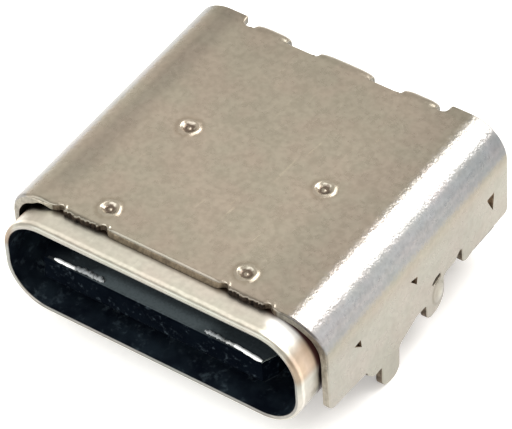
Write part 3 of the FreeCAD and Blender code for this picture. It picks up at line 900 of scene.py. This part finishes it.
        far = g.math("MULTIPLY", g.remap(g.y, 4.5, 7.5, 0.0, 1.0, True), g.remap(ax, 4.15, 4.3, 0.0, 1.0))
        col = times(col, (0.90, 0.915, 0.93), g.math("MULTIPLY", far, g.remap(g.z, 0.7, 0.95, 0.0, 1.0, True)))
        tail = g.math("MULTIPLY", g.remap(g.y, 8.19, 8.29, 0.0, 1.0, True), g.remap(g.z, 1.0, 1.3, 0.0, 1.0))
        col = times(col, (0.86, 0.865, 0.86), g.math("MULTIPLY", tail, g.remap(blotch, 0.35, 0.65, 0.6, 1.0)))
        # the side runs slightly darker up to the bend
        low = g.math("MULTIPLY", g.remap(g.z, 0.85, 0.55, 0.0, 1.0, True), g.remap(g.z, 0.5, -0.1, 1.0, 0.0, True))
        col = times(col, (0.94, 0.925, 0.90), g.math("MULTIPLY", low, g.remap(ax, 4.3, 4.4, 0.0, 1.0)))
        # welds: scorched inside, with a paler bead in the middle
        dx = g.math("SUBTRACT", ax, 1.975)
        dy1 = g.math("ABSOLUTE", g.math("SUBTRACT", g.y, 1.33))
        dy2 = g.math("ABSOLUTE", g.math("SUBTRACT", g.y, 4.56))
        dw = g.vec("LENGTH", g.combine(dx, g.math("MINIMUM", dy1, dy2), 0.0))
        dw = g.math("ADD", dw, g.remap(g.noise(g.mm, 9.0, 2.0), 0.3, 0.7, -0.03, 0.03))
        burn = g.math("MULTIPLY", g.math("MULTIPLY", g.remap(dw, 0.12, 0.17, 1.0, 0.0, True), g.remap(dw, 0.025, 0.07, 0.2, 1.0, True)), top)
        col = g.mix(g.math("MULTIPLY", burn, 0.85), col, (0.11, 0.078, 0.06))
        halo = g.math("MULTIPLY", g.math("MULTIPLY", g.remap(dw, 0.27, 0.30, 0.0, 1.0, True), g.remap(dw, 0.32, 0.44, 1.0, 0.0, True)), top)
        col = times(col, (0.84, 0.81, 0.78), g.math("MULTIPLY", halo, 0.8))
        strokes = [((0.82, 4.05), (0.86, 5.15), 0.03), ((0.36, 2.75), (0.42, 3.3), 0.035), ((0.47, 2.45), (0.53, 3.1), 0.03),
                   ((0.98, 5.2), (1.06, 5.95), 0.025), ((2.1, 6.45), (2.2, 6.7), 0.03), ((-1.42, 4.15), (-1.34, 4.45), 0.025),
                   ((-0.3, 2.3), (-0.22, 2.85), 0.02), ((-2.4, 3.05), (-2.3, 3.4), 0.02), ((1.5, 2.2), (1.56, 2.6), 0.02),
                   ((-3.87, 5.93), (-3.78, 6.12), 0.05)]
        total = None
        for a, b, w in strokes:
            st = g.stroke(a, b, w * 1.5)
            total = st if total is None else g.math("MAXIMUM", total, st)
        broken = g.remap(g.noise(g.mm, 6.0, 3.0), 0.38, 0.62, 0.25, 1.0)
        hair = g.math("MAXIMUM", g.math("MULTIPLY", hair, 0.3), g.math("MULTIPLY", g.math("MULTIPLY", total, broken), top))
        # painted shade and highlight on the formed part of the rear leg: a dark crease ring round it and a lighter
        # middle, and a little painted shade lower down towards the front leg
        ly = g.math("DIVIDE", g.math("SUBTRACT", g.y, 5.42), 0.24)
        lz = g.math("DIVIDE", g.math("SUBTRACT", g.z, -1.25), 0.36)
        lr = g.vec("LENGTH", g.combine(ly, lz, 0.0))
        # painted shade: a dark ring round the bump
        ring = g.math("MULTIPLY", g.remap(lr, 0.72, 0.95, 0.0, 1.0, True), g.remap(lr, 0.98, 1.25, 1.0, 0.0, True))
        ring = g.math("MULTIPLY", ring, g.remap(fine, 0.35, 0.6, 0.45, 1.0))
        col = times(col, (0.72, 0.72, 0.69), g.math("MULTIPLY", ring, g.remap(ax, 4.3, 4.4, 0.0, 1.0)))
        painted_bump_highlight = g.math("MULTIPLY", g.remap(lr, 0.15, 0.6, 1.0, 0.0, True), g.remap(ax, 4.3, 4.4, 0.0, 1.0))
        col = times(col, (1.28, 1.30, 1.32), painted_bump_highlight)
        col = times(col, (0.97, 0.97, 0.955), g.math("MULTIPLY", g.remap(g.z, -1.15, -1.5, 0.0, 1.0, True), g.remap(g.y, 4.2, 4.0, 0.0, 1.0)))
    if tube:
        # rim: the rolled outer edge painted pale as a highlight, with a painted shade line just in front of it on its
        # upper part
        qx = g.math("MAXIMUM", g.math("SUBTRACT", ax, MOUTH_HW - MOUTH_R), 0.0)
        qz = g.math("MAXIMUM", g.math("SUBTRACT", g.math("ABSOLUTE", g.z), MOUTH_HH - MOUTH_R), 0.0)
        d = g.math("SUBTRACT", g.vec("LENGTH", g.combine(qx, qz, 0.0)), MOUTH_R)
        jit = g.remap(g.noise(g.mm, 4.0, 3.0), 0.3, 0.7, -0.012, 0.012)
        yy = g.math("ADD", g.y, jit)
        outside = g.remap(d, 0.10, 0.13, 0.0, 1.0)
        pale = g.math("MULTIPLY", g.math("MULTIPLY", g.remap(yy, 0.085, 0.125, 0.0, 1.0, True), g.remap(yy, 0.16, 0.23, 1.0, 0.0, True)), outside)
        painted_rim_shade = g.math("MULTIPLY", g.math("MULTIPLY", g.remap(g.z, -0.3, 0.5, 0.0, 1.0, True), g.remap(yy, 0.065, 0.095, 1.0, 0.0, True)), g.remap(d, 0.06, 0.09, 0.0, 1.0))
        col = times(col, (1.34, 1.35, 1.37), pale)
        col = times(col, (0.65, 0.655, 0.65), painted_rim_shade)
        col = times(col, (1.03, 1.03, 1.04), g.remap(yy, 0.2, 0.45, 0.0, 1.0, True))
        # painted shade: deep in the gap under the outer shell the unlit plate is painted a dark reddish brown
        flank = g.remap(ax, 3.15, 3.6, 0.0, 1.0, True)
        right = g.math("MULTIPLY", g.remap(g.x, 3.05, 3.45, 0.0, 1.0, True), g.remap(g.z, 0.1, 0.5, 0.0, 1.0, True))
        near = g.math("MULTIPLY", g.remap(g.y, 0.36, 0.60, 0.0, 1.0, True), right)
        col = times(col, (1.02, 0.99, 0.96), near)
        # painted highlight: the right shoulder is painted near white where the lamp's reflection lies
        painted_crown_highlight = g.math("MULTIPLY", g.remap(g.x, 3.0, 3.35, 0.0, 1.0, True), g.remap(g.x, 4.0, 3.8, 0.0, 1.0, True))
        painted_crown_highlight = g.math("MULTIPLY", painted_crown_highlight, g.remap(g.z, 0.95, 1.15, 0.0, 1.0, True))
        col = g.mix(g.math("MULTIPLY", painted_crown_highlight, g.remap(g.y, 0.30, 0.44, 0.0, 1.0, True)), col, (1.0, 0.99, 0.97))
        deep = g.math("ADD", g.y, g.remap(g.x, -1.0, 1.0, 0.125, 0.0))
        deep = g.math("ADD", deep, g.math("MULTIPLY", g.remap(g.x, -3.0, -3.3, 0.0, 0.06), g.remap(g.z, 1.22, 1.36, 0.0, 1.0)))
        gap = g.math("MULTIPLY", g.remap(deep, 0.70, 0.83, 0.0, 1.0, True), flank)
        side = g.math("MULTIPLY", g.remap(g.x, 3.15, 3.4, 0.0, 1.0), g.remap(g.z, 0.0, 0.4, 0.0, 1.0))
        gap = g.math("MAXIMUM", gap, g.math("MULTIPLY", g.remap(g.y, 0.645, 0.765, 0.0, 1.0, True), side))
        gap = g.math("MAXIMUM", gap, g.math("MULTIPLY", g.remap(g.y, 0.54, 0.77, 0.0, 1.0, True), g.remap(flank, 0.0, 1.0, 1.0, 0.0)))
        painted_gap_shade = g.mix(g.remap(g.x, 2.8, 3.4, 0.0, 1.0, True), (0.032, 0.022, 0.016), (0.062, 0.022, 0.023))
        col = g.mix(gap, col, painted_gap_shade)
        cheek = g.math("MULTIPLY", g.remap(ax, 3.9, 4.2, 0.0, 1.0, True), g.remap(g.z, 0.6, 0.3, 0.0, 1.0, True))
        col = times(col, (0.83, 0.84, 0.86), cheek)
        # painted light: the outside of the rim's lower edge is painted about twice as bright, lifting it out of the
        # shade near the floor
        under = g.math("MULTIPLY", g.remap(g.z, -1.31, -1.39, 0.0, 1.0, True), g.remap(d, 0.07, 0.11, 0.0, 1.0, True))
        col = times(col, (2.1, 2.13, 2.16), g.math("MULTIPLY", under, g.remap(g.y, 0.1, 0.3, 1.0, 0.0)))
        sill = g.math("MULTIPLY", g.remap(g.z, -1.24, -1.27, 0.0, 1.0, True), g.remap(d, 0.05, 0.085, 1.0, 0.0, True))
        col = times(col, (0.66, 0.66, 0.67), sill)
        # painted reflection: a salmon tint beside the highlight on the right shoulder
        painted_salmon_reflection = g.math("MULTIPLY", g.remap(ax, 3.85, 4.1, 0.0, 1.0, True), g.remap(g.z, 0.2, 0.45, 0.0, 1.0, True))
        col = times(col, (0.80, 0.655, 0.56), g.math("MULTIPLY", painted_salmon_reflection, g.remap(g.z, 1.25, 1.0, 0.0, 1.0, True)))
        lip = g.math("MULTIPLY", g.remap(d, 0.028, 0.055, 1.0, 0.0, True), g.math("MULTIPLY", g.remap(g.z, 1.0, 1.2, 0.0, 1.0), g.remap(g.x, -1.8, -0.6, 0.0, 1.0, True)))
        col = times(col, (0.12, 0.12, 0.12), lip)
    col = times(col, (1.3, 1.3, 1.28), g.math("MULTIPLY", hair, 0.18 if tube else 0.85))
    r = g.math("SUBTRACT", r, g.math("MULTIPLY", hair, 0.01 if tube else 0.05))
    n = g.bumps(fine, 0.0032e-3 * grain, 1.0)
    n = g.bumps(cloud, 0.006e-3, 1.0, n)
    if marks:
        # stretching has roughened the outside of the bends
        coarse = g.math("MULTIPLY", g.math("MULTIPLY", g.remap(ax, 3.35, 3.65, 0.0, 1.0, True), g.remap(g.z, 0.75, 1.0, 0.0, 1.0, True)), blotch)
        n = g.bumps(g.math("MULTIPLY", coarse, g.remap(g.x, -1.0, 1.0, 0.5, 1.0)), 0.0100e-3, 1.0, n)
    g.out(col, 1.0, r, n)
    if tube:
        # metallic lowered round the right shoulder so the painted highlight and painted gap shade there show as plain
        # colour
        painted_light_diffuse = g.math("MULTIPLY", g.remap(g.x, 3.0, 3.3, 0.0, 0.88, True), g.remap(g.z, 0.0, 0.5, 0.0, 1.0, True))
        g.put(g.p.inputs["Metallic"], g.math("SUBTRACT", 1.0, g.math("MULTIPLY", painted_light_diffuse, g.remap(g.y, 0.28, 0.44, 0.0, 1.0, True))))
    return g.m


def cut_steel(name, dark, light, rough, pale=False):
    """Sheared or torn metal: burnished band and rough break."""
    g = Graph(name)
    a = g.noise(g.mm, 6.0, 4.0, 0.65)
    f = g.noise(g.stretched(14.0, 14.0, 3.0), 1.0, 3.0, 0.6)
    fine = g.noise(g.mm, 22.0, 2.0, 0.6)
    k = g.math("ADD", g.math("MULTIPLY", a, 0.6), g.math("MULTIPLY", f, 0.4))
    col = g.mix(g.remap(k, 0.4, 0.62, 0.0, 1.0), dark, light)
    if pale:
        # painted light: the cut face is painted lighter round the left front corner and low down on the right side wall
        col = g.mix(g.remap(g.x, -3.0, -3.4, 0.0, 1.0, True), col, g.mix(1.0, col, g.remap(g.x, -3.95, -3.6, 1.52, 2.45, True), "MULTIPLY"))
        low = g.math("MULTIPLY", g.remap(g.z, 0.9, 0.5, 0.0, 1.0, True), g.remap(g.x, 4.0, 4.3, 0.0, 1.0))
        col = g.mix(low, col, g.mix(1.0, col, (1.74, 1.70, 1.66), "MULTIPLY"))
    n = g.bumps(fine, 0.004e-3, 1.0)
    n = g.bumps(a, 0.02e-3, 1.0, n)
    return g.out(col, 0.85, g.math("ADD", rough, g.remap(fine, 0.3, 0.7, -0.08, 0.08)), n)


def inner_dark(name):
    """Inside of the mouth: the plate painted dark and bluish as the shade it lies in, with paler bluish streaks and
    specks.
    """
    g = Graph(name)
    a = g.noise(g.mm, 1.6, 4.0, 0.6)
    s = g.noise(g.stretched(2.6, 1.9, 2.6), 1.0, 3.0, 0.65)
    fine = g.noise(g.mm, 8.0, 3.0, 0.6)
    col = g.mix(g.remap(a, 0.4, 0.65, 0.0, 1.0), (0.016, 0.024, 0.044), (0.040, 0.062, 0.088))
    spot = g.math("MULTIPLY", g.remap(s, 0.48, 0.68, 0.0, 1.0, True), g.remap(fine, 0.44, 0.64, 0.0, 1.0))
    col = g.mix(g.math("MULTIPLY", spot, 0.85), col, (0.17, 0.235, 0.285))
    n = g.bumps(fine, 0.003e-3, 1.0)
    return g.out(col, 0.9, g.remap(a, 0.3, 0.7, 0.38, 0.5), n)


def black_plastic(name, deep, pale, dust_col, rough=0.55, specular=0.16, tongue=False):
    """Moulded black plastic: faint bluish cast, moulding grain, pale dust specks."""
    g = Graph(name)
    a = g.noise(g.mm, 1.3, 4.0, 0.6)
    fine = g.noise(g.mm, 14.0, 3.0, 0.6)
    dust = g.noise(g.vec("ADD", g.mm, (9.0, 2.0, 4.0)), 5.0, 4.0, 0.65)
    col = g.mix(g.remap(a, 0.35, 0.65, 0.0, 1.0), deep, pale)
    d = g.math("MULTIPLY", g.remap(dust, 0.54, 0.70, 0.0, 1.0, True), g.remap(fine, 0.42, 0.62, 0.0, 1.0))
    col = g.mix(g.math("MULTIPLY", d, 0.8), col, dust_col)
    if tongue:
        # painted light: the upper and lower faces are painted paler between the end lips
        ax = g.math("ABSOLUTE", g.math("ADD", g.x, g.remap(a, 0.3, 0.7, -0.3, 0.3)))
        face = g.remap(g.math("ABSOLUTE", g.z), 0.325, 0.348, 0.0, 1.0)
        mid = g.math("MULTIPLY", g.remap(ax, 2.1, 1.35, 0.28, 1.0, True), g.remap(g.y, 0.36, 0.62, 1.0, 0.42, True))
        mid = g.math("MULTIPLY", mid, g.remap(g.y, 0.10, 0.22, 0.35, 1.0, True))
        mid = g.math("MAXIMUM", mid, g.math("MULTIPLY", g.remap(g.y, 0.32, 0.50, 0.0, 0.27, True), g.remap(g.x, -3.2, -2.3, 0.0, 1.0, True)))
        mid = g.math("MULTIPLY", mid, g.remap(g.x, -3.2, -2.3, 0.1, 1.0, True))
        k = g.math("MULTIPLY", g.math("MULTIPLY", face, mid), g.remap(fine, 0.3, 0.7, 0.8, 1.15))
        col = g.mix(k, col, (0.098, 0.120, 0.128))
    n = g.bumps(fine, 0.003e-3, 1.0)
    return g.out(col, 0.0, g.remap(fine, 0.3, 0.7, rough - 0.05, rough + 0.07), n, specular)


def bright_steel(name, base, rough, lips=False, metallic=1.0, fins=False):
    g = Graph(name)
    a = g.noise(g.mm, 3.0, 3.0, 0.6)
    s = g.noise(g.stretched(2.0, 14.0, 14.0), 1.0, 3.0, 0.6)
    fine = g.noise(g.mm, 20.0, 2.0, 0.6)
    col = g.mix(g.remap(a, 0.35, 0.65, 0.0, 1.0), scaled(base, 0.86), base)
    col = g.mix(g.remap(s, 0.4, 0.65, 0.0, 0.5), col, scaled(base, 0.75))
    r = g.math("ADD", rough, g.remap(s, 0.3, 0.7, -0.04, 0.08))
    if lips:
        # painted glint: near white towards the tongue's ends, darker and patchy towards its middle
        ax = g.math("ADD", g.math("ABSOLUTE", g.x), g.remap(a, 0.3, 0.7, -0.06, 0.06))
        painted_glint = g.remap(ax, 2.24, 2.36, 0.0, 1.0, True)
        patchy = g.remap(g.noise(g.mm, 7.0, 2.0), 0.4, 0.6, 0.18, 0.62)
        col = g.mix(g.math("MAXIMUM", painted_glint, patchy), (0.05, 0.055, 0.055), col)
        grey = g.math("MAXIMUM", g.remap(ax, 2.0, 1.88, 0.0, 0.8, True), g.math("MULTIPLY", g.remap(g.x, -0.5, -0.6, 0.0, 1.0), g.remap(ax, 2.36, 2.24, 0.0, 0.75, True)))
        col = g.mix(grey, col, (0.29, 0.31, 0.32))
        r = g.math("ADD", r, g.remap(painted_glint, 0.0, 1.0, 0.12, 0.0))
    n = g.bumps(fine, 0.002e-3, 1.0)
    if fins:
        # the fins at the tongue's front are coated over with the tongue's plastic
        k = g.remap(g.y, 0.28, 0.34, 1.0, 0.0)
        g.out(g.mix(k, col, (0.012, 0.015, 0.018)), 1.0, g.math("ADD", r, g.math("MULTIPLY", k, 0.4)), n)
        g.put(g.p.inputs["Metallic"], g.remap(g.y, 0.28, 0.34, 0.0, 1.0))
        return g.m
    return g.out(col, metallic, r, n)


def gold_plate(name):
    g = Graph(name)
    a = g.noise(g.mm, 4.0, 3.0, 0.6)
    fine = g.noise(g.mm, 30.0, 2.0, 0.6)
    s = g.noise(g.stretched(20.0, 1.5, 20.0), 1.0, 2.0, 0.6)
    col = g.mix(g.remap(a, 0.35, 0.65, 0.0, 1.0), (0.62, 0.42, 0.16), (0.78, 0.57, 0.27))
    col = g.mix(g.remap(s, 0.5, 0.7, 0.0, 0.6), col, (0.85, 0.68, 0.4))
    n = g.bumps(fine, 0.0015e-3, 1.0)
    return g.out(col, 1.0, g.remap(a, 0.3, 0.7, 0.2, 0.32), n)


# =============================================================================
# Lips of the mid plate: small rolled beads along the tongue's front corners
# =============================================================================
def tube(b, path, mat, k_max=12):
    """A round bar along a path of (x, y, z, radius), closed at both ends."""
    rings = []
    for i, (x, y, z, rad) in enumerate(path):
        p, q = path[max(0, i - 1)], path[min(len(path) - 1, i + 1)]
        t = Vector((q[0] - p[0], q[1] - p[1], q[2] - p[2])).normalized()
        u = t.cross(Vector((0, 0, 1))).normalized()
        w = u.cross(t)
        ring = []
        for k in range(k_max):
            d = u * math.cos(2 * math.pi * k / k_max) + w * math.sin(2 * math.pi * k / k_max)
            ring.append(((x + rad * d.x, y + rad * d.y, z + rad * d.z), tuple(d)))
        rings.append(ring)
    for i in range(len(rings) - 1):
        for k in range(k_max):
            k2 = (k + 1) % k_max
            b.face([rings[i][k], rings[i][k2], rings[i + 1][k2], rings[i + 1][k]], mat)
    for ring, p, q in ((rings[0], path[1], path[0]), (rings[-1], path[-2], path[-1])):
        d = tuple(q[c] - p[c] for c in range(3))
        b.face([(r[0], d) for r in ring], mat)


def build_lips(materials):
    b = Builder()
    r = random.Random(3)
    for x0, x1 in ((-2.92, -1.46), (3.17, 1.48)):
        n = 44
        path = []
        for i in range(n + 1):
            t = i / n                       # from the tongue's end towards its middle
            x = x0 + (x1 - x0) * t
            rough_part = min(1.0, max(0.0, (2.36 - abs(x)) / 0.10))
            rad = 0.052 - 0.004 * math.sin(i * 0.9) - rough_part * 0.008 * (0.6 + math.sin(i * 1.7 + x0))
            rad *= min(1.0, 0.45 + 10 * min(t, 1 - t))
            y = (0.222 if x0 < 0 else 0.16 + 0.070 * min(1.0, (3.17 - x) / 0.8)) + rough_part * r.uniform(-0.012, 0.012)
            lump = (ease(2.34, 2.18, abs(x)) if x0 < 0 else ease(1.98, 1.86, abs(x))) * (0.68 + 0.32 * math.sin(i * 1.3))
            fat = 0.040 if x0 < 0 else 0.018
            rad += fat * lump
            y += 1.2 * fat * lump
            path.append((x, y, 0.352 - 0.6 * max(0.0, rad - 0.055) + rough_part * r.uniform(-0.012, 0.006), rad))
        tube(b, path, 0)
    # a thin grey bar along the tongue's right corner stands in for the highlight on its chamfer (painted highlight)
    tube(b, [(3.172 + 0.173 * t, 0.13 + 0.42 * t, 0.348, 0.017) for t in [i / 10 for i in range(11)]], 1, 8)
    return b.make("plate_lips", materials)


NICKEL = (0.40, 0.362, 0.302)
nickel = nickel_shell("nickel_outer", NICKEL, 0.29)
# painted shade: the sheet's inner and lower faces get a darkened copy of the nickel for the shade they lie in
nickel_back_painted_shade = nickel_shell("nickel_outer_inside", scaled(NICKEL, 0.30), 0.40, False)
nickel_tube = nickel_shell("nickel_inner", (0.572, 0.551, 0.487), 0.38, False, 0.7, True)
nickel_rim = nickel_shell("nickel_rim", (0.345, 0.34, 0.315), 0.4, False, 0.7, True)
mouth_dark = inner_dark("mouth_inside")
# sheared faces: cut steel painted dark brown, partly as the shade the faces sit in
edge_cut = cut_steel("sheared_edge", (0.078, 0.060, 0.043), (0.25, 0.20, 0.148), 0.5)
# painted shade: the torn stubs' edge is painted near black for the shadowed gap beneath it
edge_torn_painted_dark = cut_steel("torn_edge", (0.007, 0.004, 0.003), (0.070, 0.050, 0.036), 0.6)
edge_pale = cut_steel("plated_edge", (0.144, 0.134, 0.113), (0.25, 0.232, 0.195), 0.45, True)
edge_front = cut_steel("sheared_front_edge", (0.175, 0.140, 0.102), (0.335, 0.275, 0.20), 0.5)
# lance pockets: cut steel painted brown, partly as the shade in their recess
pocket = cut_steel("lance_pocket", (0.22, 0.172, 0.125), (0.50, 0.40, 0.30), 0.55)
plastic = black_plastic("plastic_black", (0.006, 0.007, 0.010), (0.012, 0.014, 0.018), (0.05, 0.055, 0.06))
# painted shade: a darker, almost unreflecting copy of the black plastic for the tongue in the shaded mouth
plastic_tongue_shaded = black_plastic("plastic_tongue_shaded", (0.0006, 0.0013, 0.0030), (0.0016, 0.0030, 0.0054), (0.034, 0.046, 0.056), 0.6, 0.003, True)
steel = bright_steel("steel_bright", (0.72, 0.73, 0.70), 0.22, fins=True)
# painted glint: the lip beads are near white and mostly non-metallic so they read as a bright line
steel_lip = bright_steel("steel_lips", (0.95, 0.965, 0.955), 0.5, True, 0.35)
# painted highlight: colour of the bar standing in for the chamfer's highlight
painted_chamfer_highlight = bright_steel("painted_chamfer_highlight", (0.34, 0.39, 0.37), 0.45)
pad = bright_steel("steel_pad", (0.6, 0.58, 0.53), 0.3)
gold = gold_plate("gold_contact")

outer = build_outer([nickel, nickel_back_painted_shade, edge_cut, edge_torn_painted_dark, pocket, edge_pale, edge_front])
inner = build_inner([nickel_tube, mouth_dark, nickel_rim])
for ob, node, slot in ((outer, "outer_shell", "shell_nickel"), (inner, "inner_shell", "inner_nickel")):
    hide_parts(node)
    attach(ob, "root")
lips = build_lips([steel_lip, painted_chamfer_highlight])
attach(lips, "root")

for n, o in nodes.items():
    o.data.materials.clear()
    if n.startswith("contact"):
        o.data.materials.append(gold)
    elif n == "mid_plate":
        o.data.materials.append(steel)
    elif n.startswith("emi_pad"):
        o.data.materials.append(pad)
    elif n in ("outer_shell", "inner_shell"):
        o.data.materials.append(nickel)
    elif n == "rear_base":
        o.data.materials.append(plastic)
    else:
        o.data.materials.append(plastic_tongue_shaded)
    # moulded and cut corners are never knife sharp
    if n not in ("outer_shell", "inner_shell"):
        bv = o.modifiers.new("soft_corners", "BEVEL")
        bv.width = 0.012 * MM if n.startswith(("contact", "emi", "mid")) else 0.022 * MM
        bv.segments = 2
        bv.limit_method = "ANGLE"
        bv.angle_limit = math.radians(35)
        bv.harden_normals = True

# =============================================================================
# Floor, world and lights
# =============================================================================
scene.view_settings.view_transform = "Standard"
floor_z = cad_box[0][2]
me = bpy.data.meshes.new("floor")
me.from_pydata([(-0.8, -0.8, floor_z), (0.8, -0.8, floor_z), (0.8, 0.8, floor_z), (-0.8, 0.8, floor_z)], [], [(0, 1, 2, 3)])
floor = bpy.data.objects.new("floor", me)
scene.collection.objects.link(floor)
g = Graph("floor_paper")
grain = g.noise(g.mm, 0.8, 3.0, 0.6)
me.materials.append(g.out(g.mix(g.remap(grain, 0.3, 0.7, 0.0, 1.0), (0.89, 0.89, 0.885), (0.92, 0.92, 0.915)), 0.0, 0.9, None, 0.2))
g.p.inputs["Emission Color"].default_value = (1.0, 0.99, 0.97, 1.0)
g.p.inputs["Emission Strength"].default_value = 0.30

world = bpy.data.worlds.new("world")
scene.world = world
world.use_nodes = True
world.node_tree.nodes["Background"].inputs["Color"].default_value = (0.915, 0.862, 0.79, 1)
world.node_tree.nodes["Background"].inputs["Strength"].default_value = 1.0


def softbox(name, direction, dist, wide, high, radiance, color=(1, 1, 1), along=(1, 0, 0)):
    """A rectangular light facing the part; 'along' is the world direction its width follows."""
    ld = bpy.data.lights.new(name, "AREA")
    ld.shape = "RECTANGLE"
    ld.size = wide
    ld.size_y = high
    ld.energy = radiance * math.pi * wide * high
    ld.color = color
    lo = bpy.data.objects.new(name, ld)
    scene.collection.objects.link(lo)
    z = Vector(direction).normalized()
    x = (Vector(along) - z * Vector(along).dot(z)).normalized()
    y = z.cross(x)
    m = Matrix((x, y, z)).transposed().to_4x4()
    m.translation = z * dist + Vector((0, 0.004, 0))
    lo.matrix_world = m
    return lo


softbox("key", (0.235, 0.55, 0.785), 0.36, 0.285, 0.24, 4.6, (1.0, 0.99, 0.985))
softbox("cool_side", (0.80, 0.55, 0.25), 0.36, 0.18, 0.2, 0.75, (0.72, 0.86, 1.0), (0, 0, 1))
softbox("front", (-0.25, -0.62, 0.62), 0.36, 0.50, 0.34, 1.8, (0.90, 0.955, 1.0))
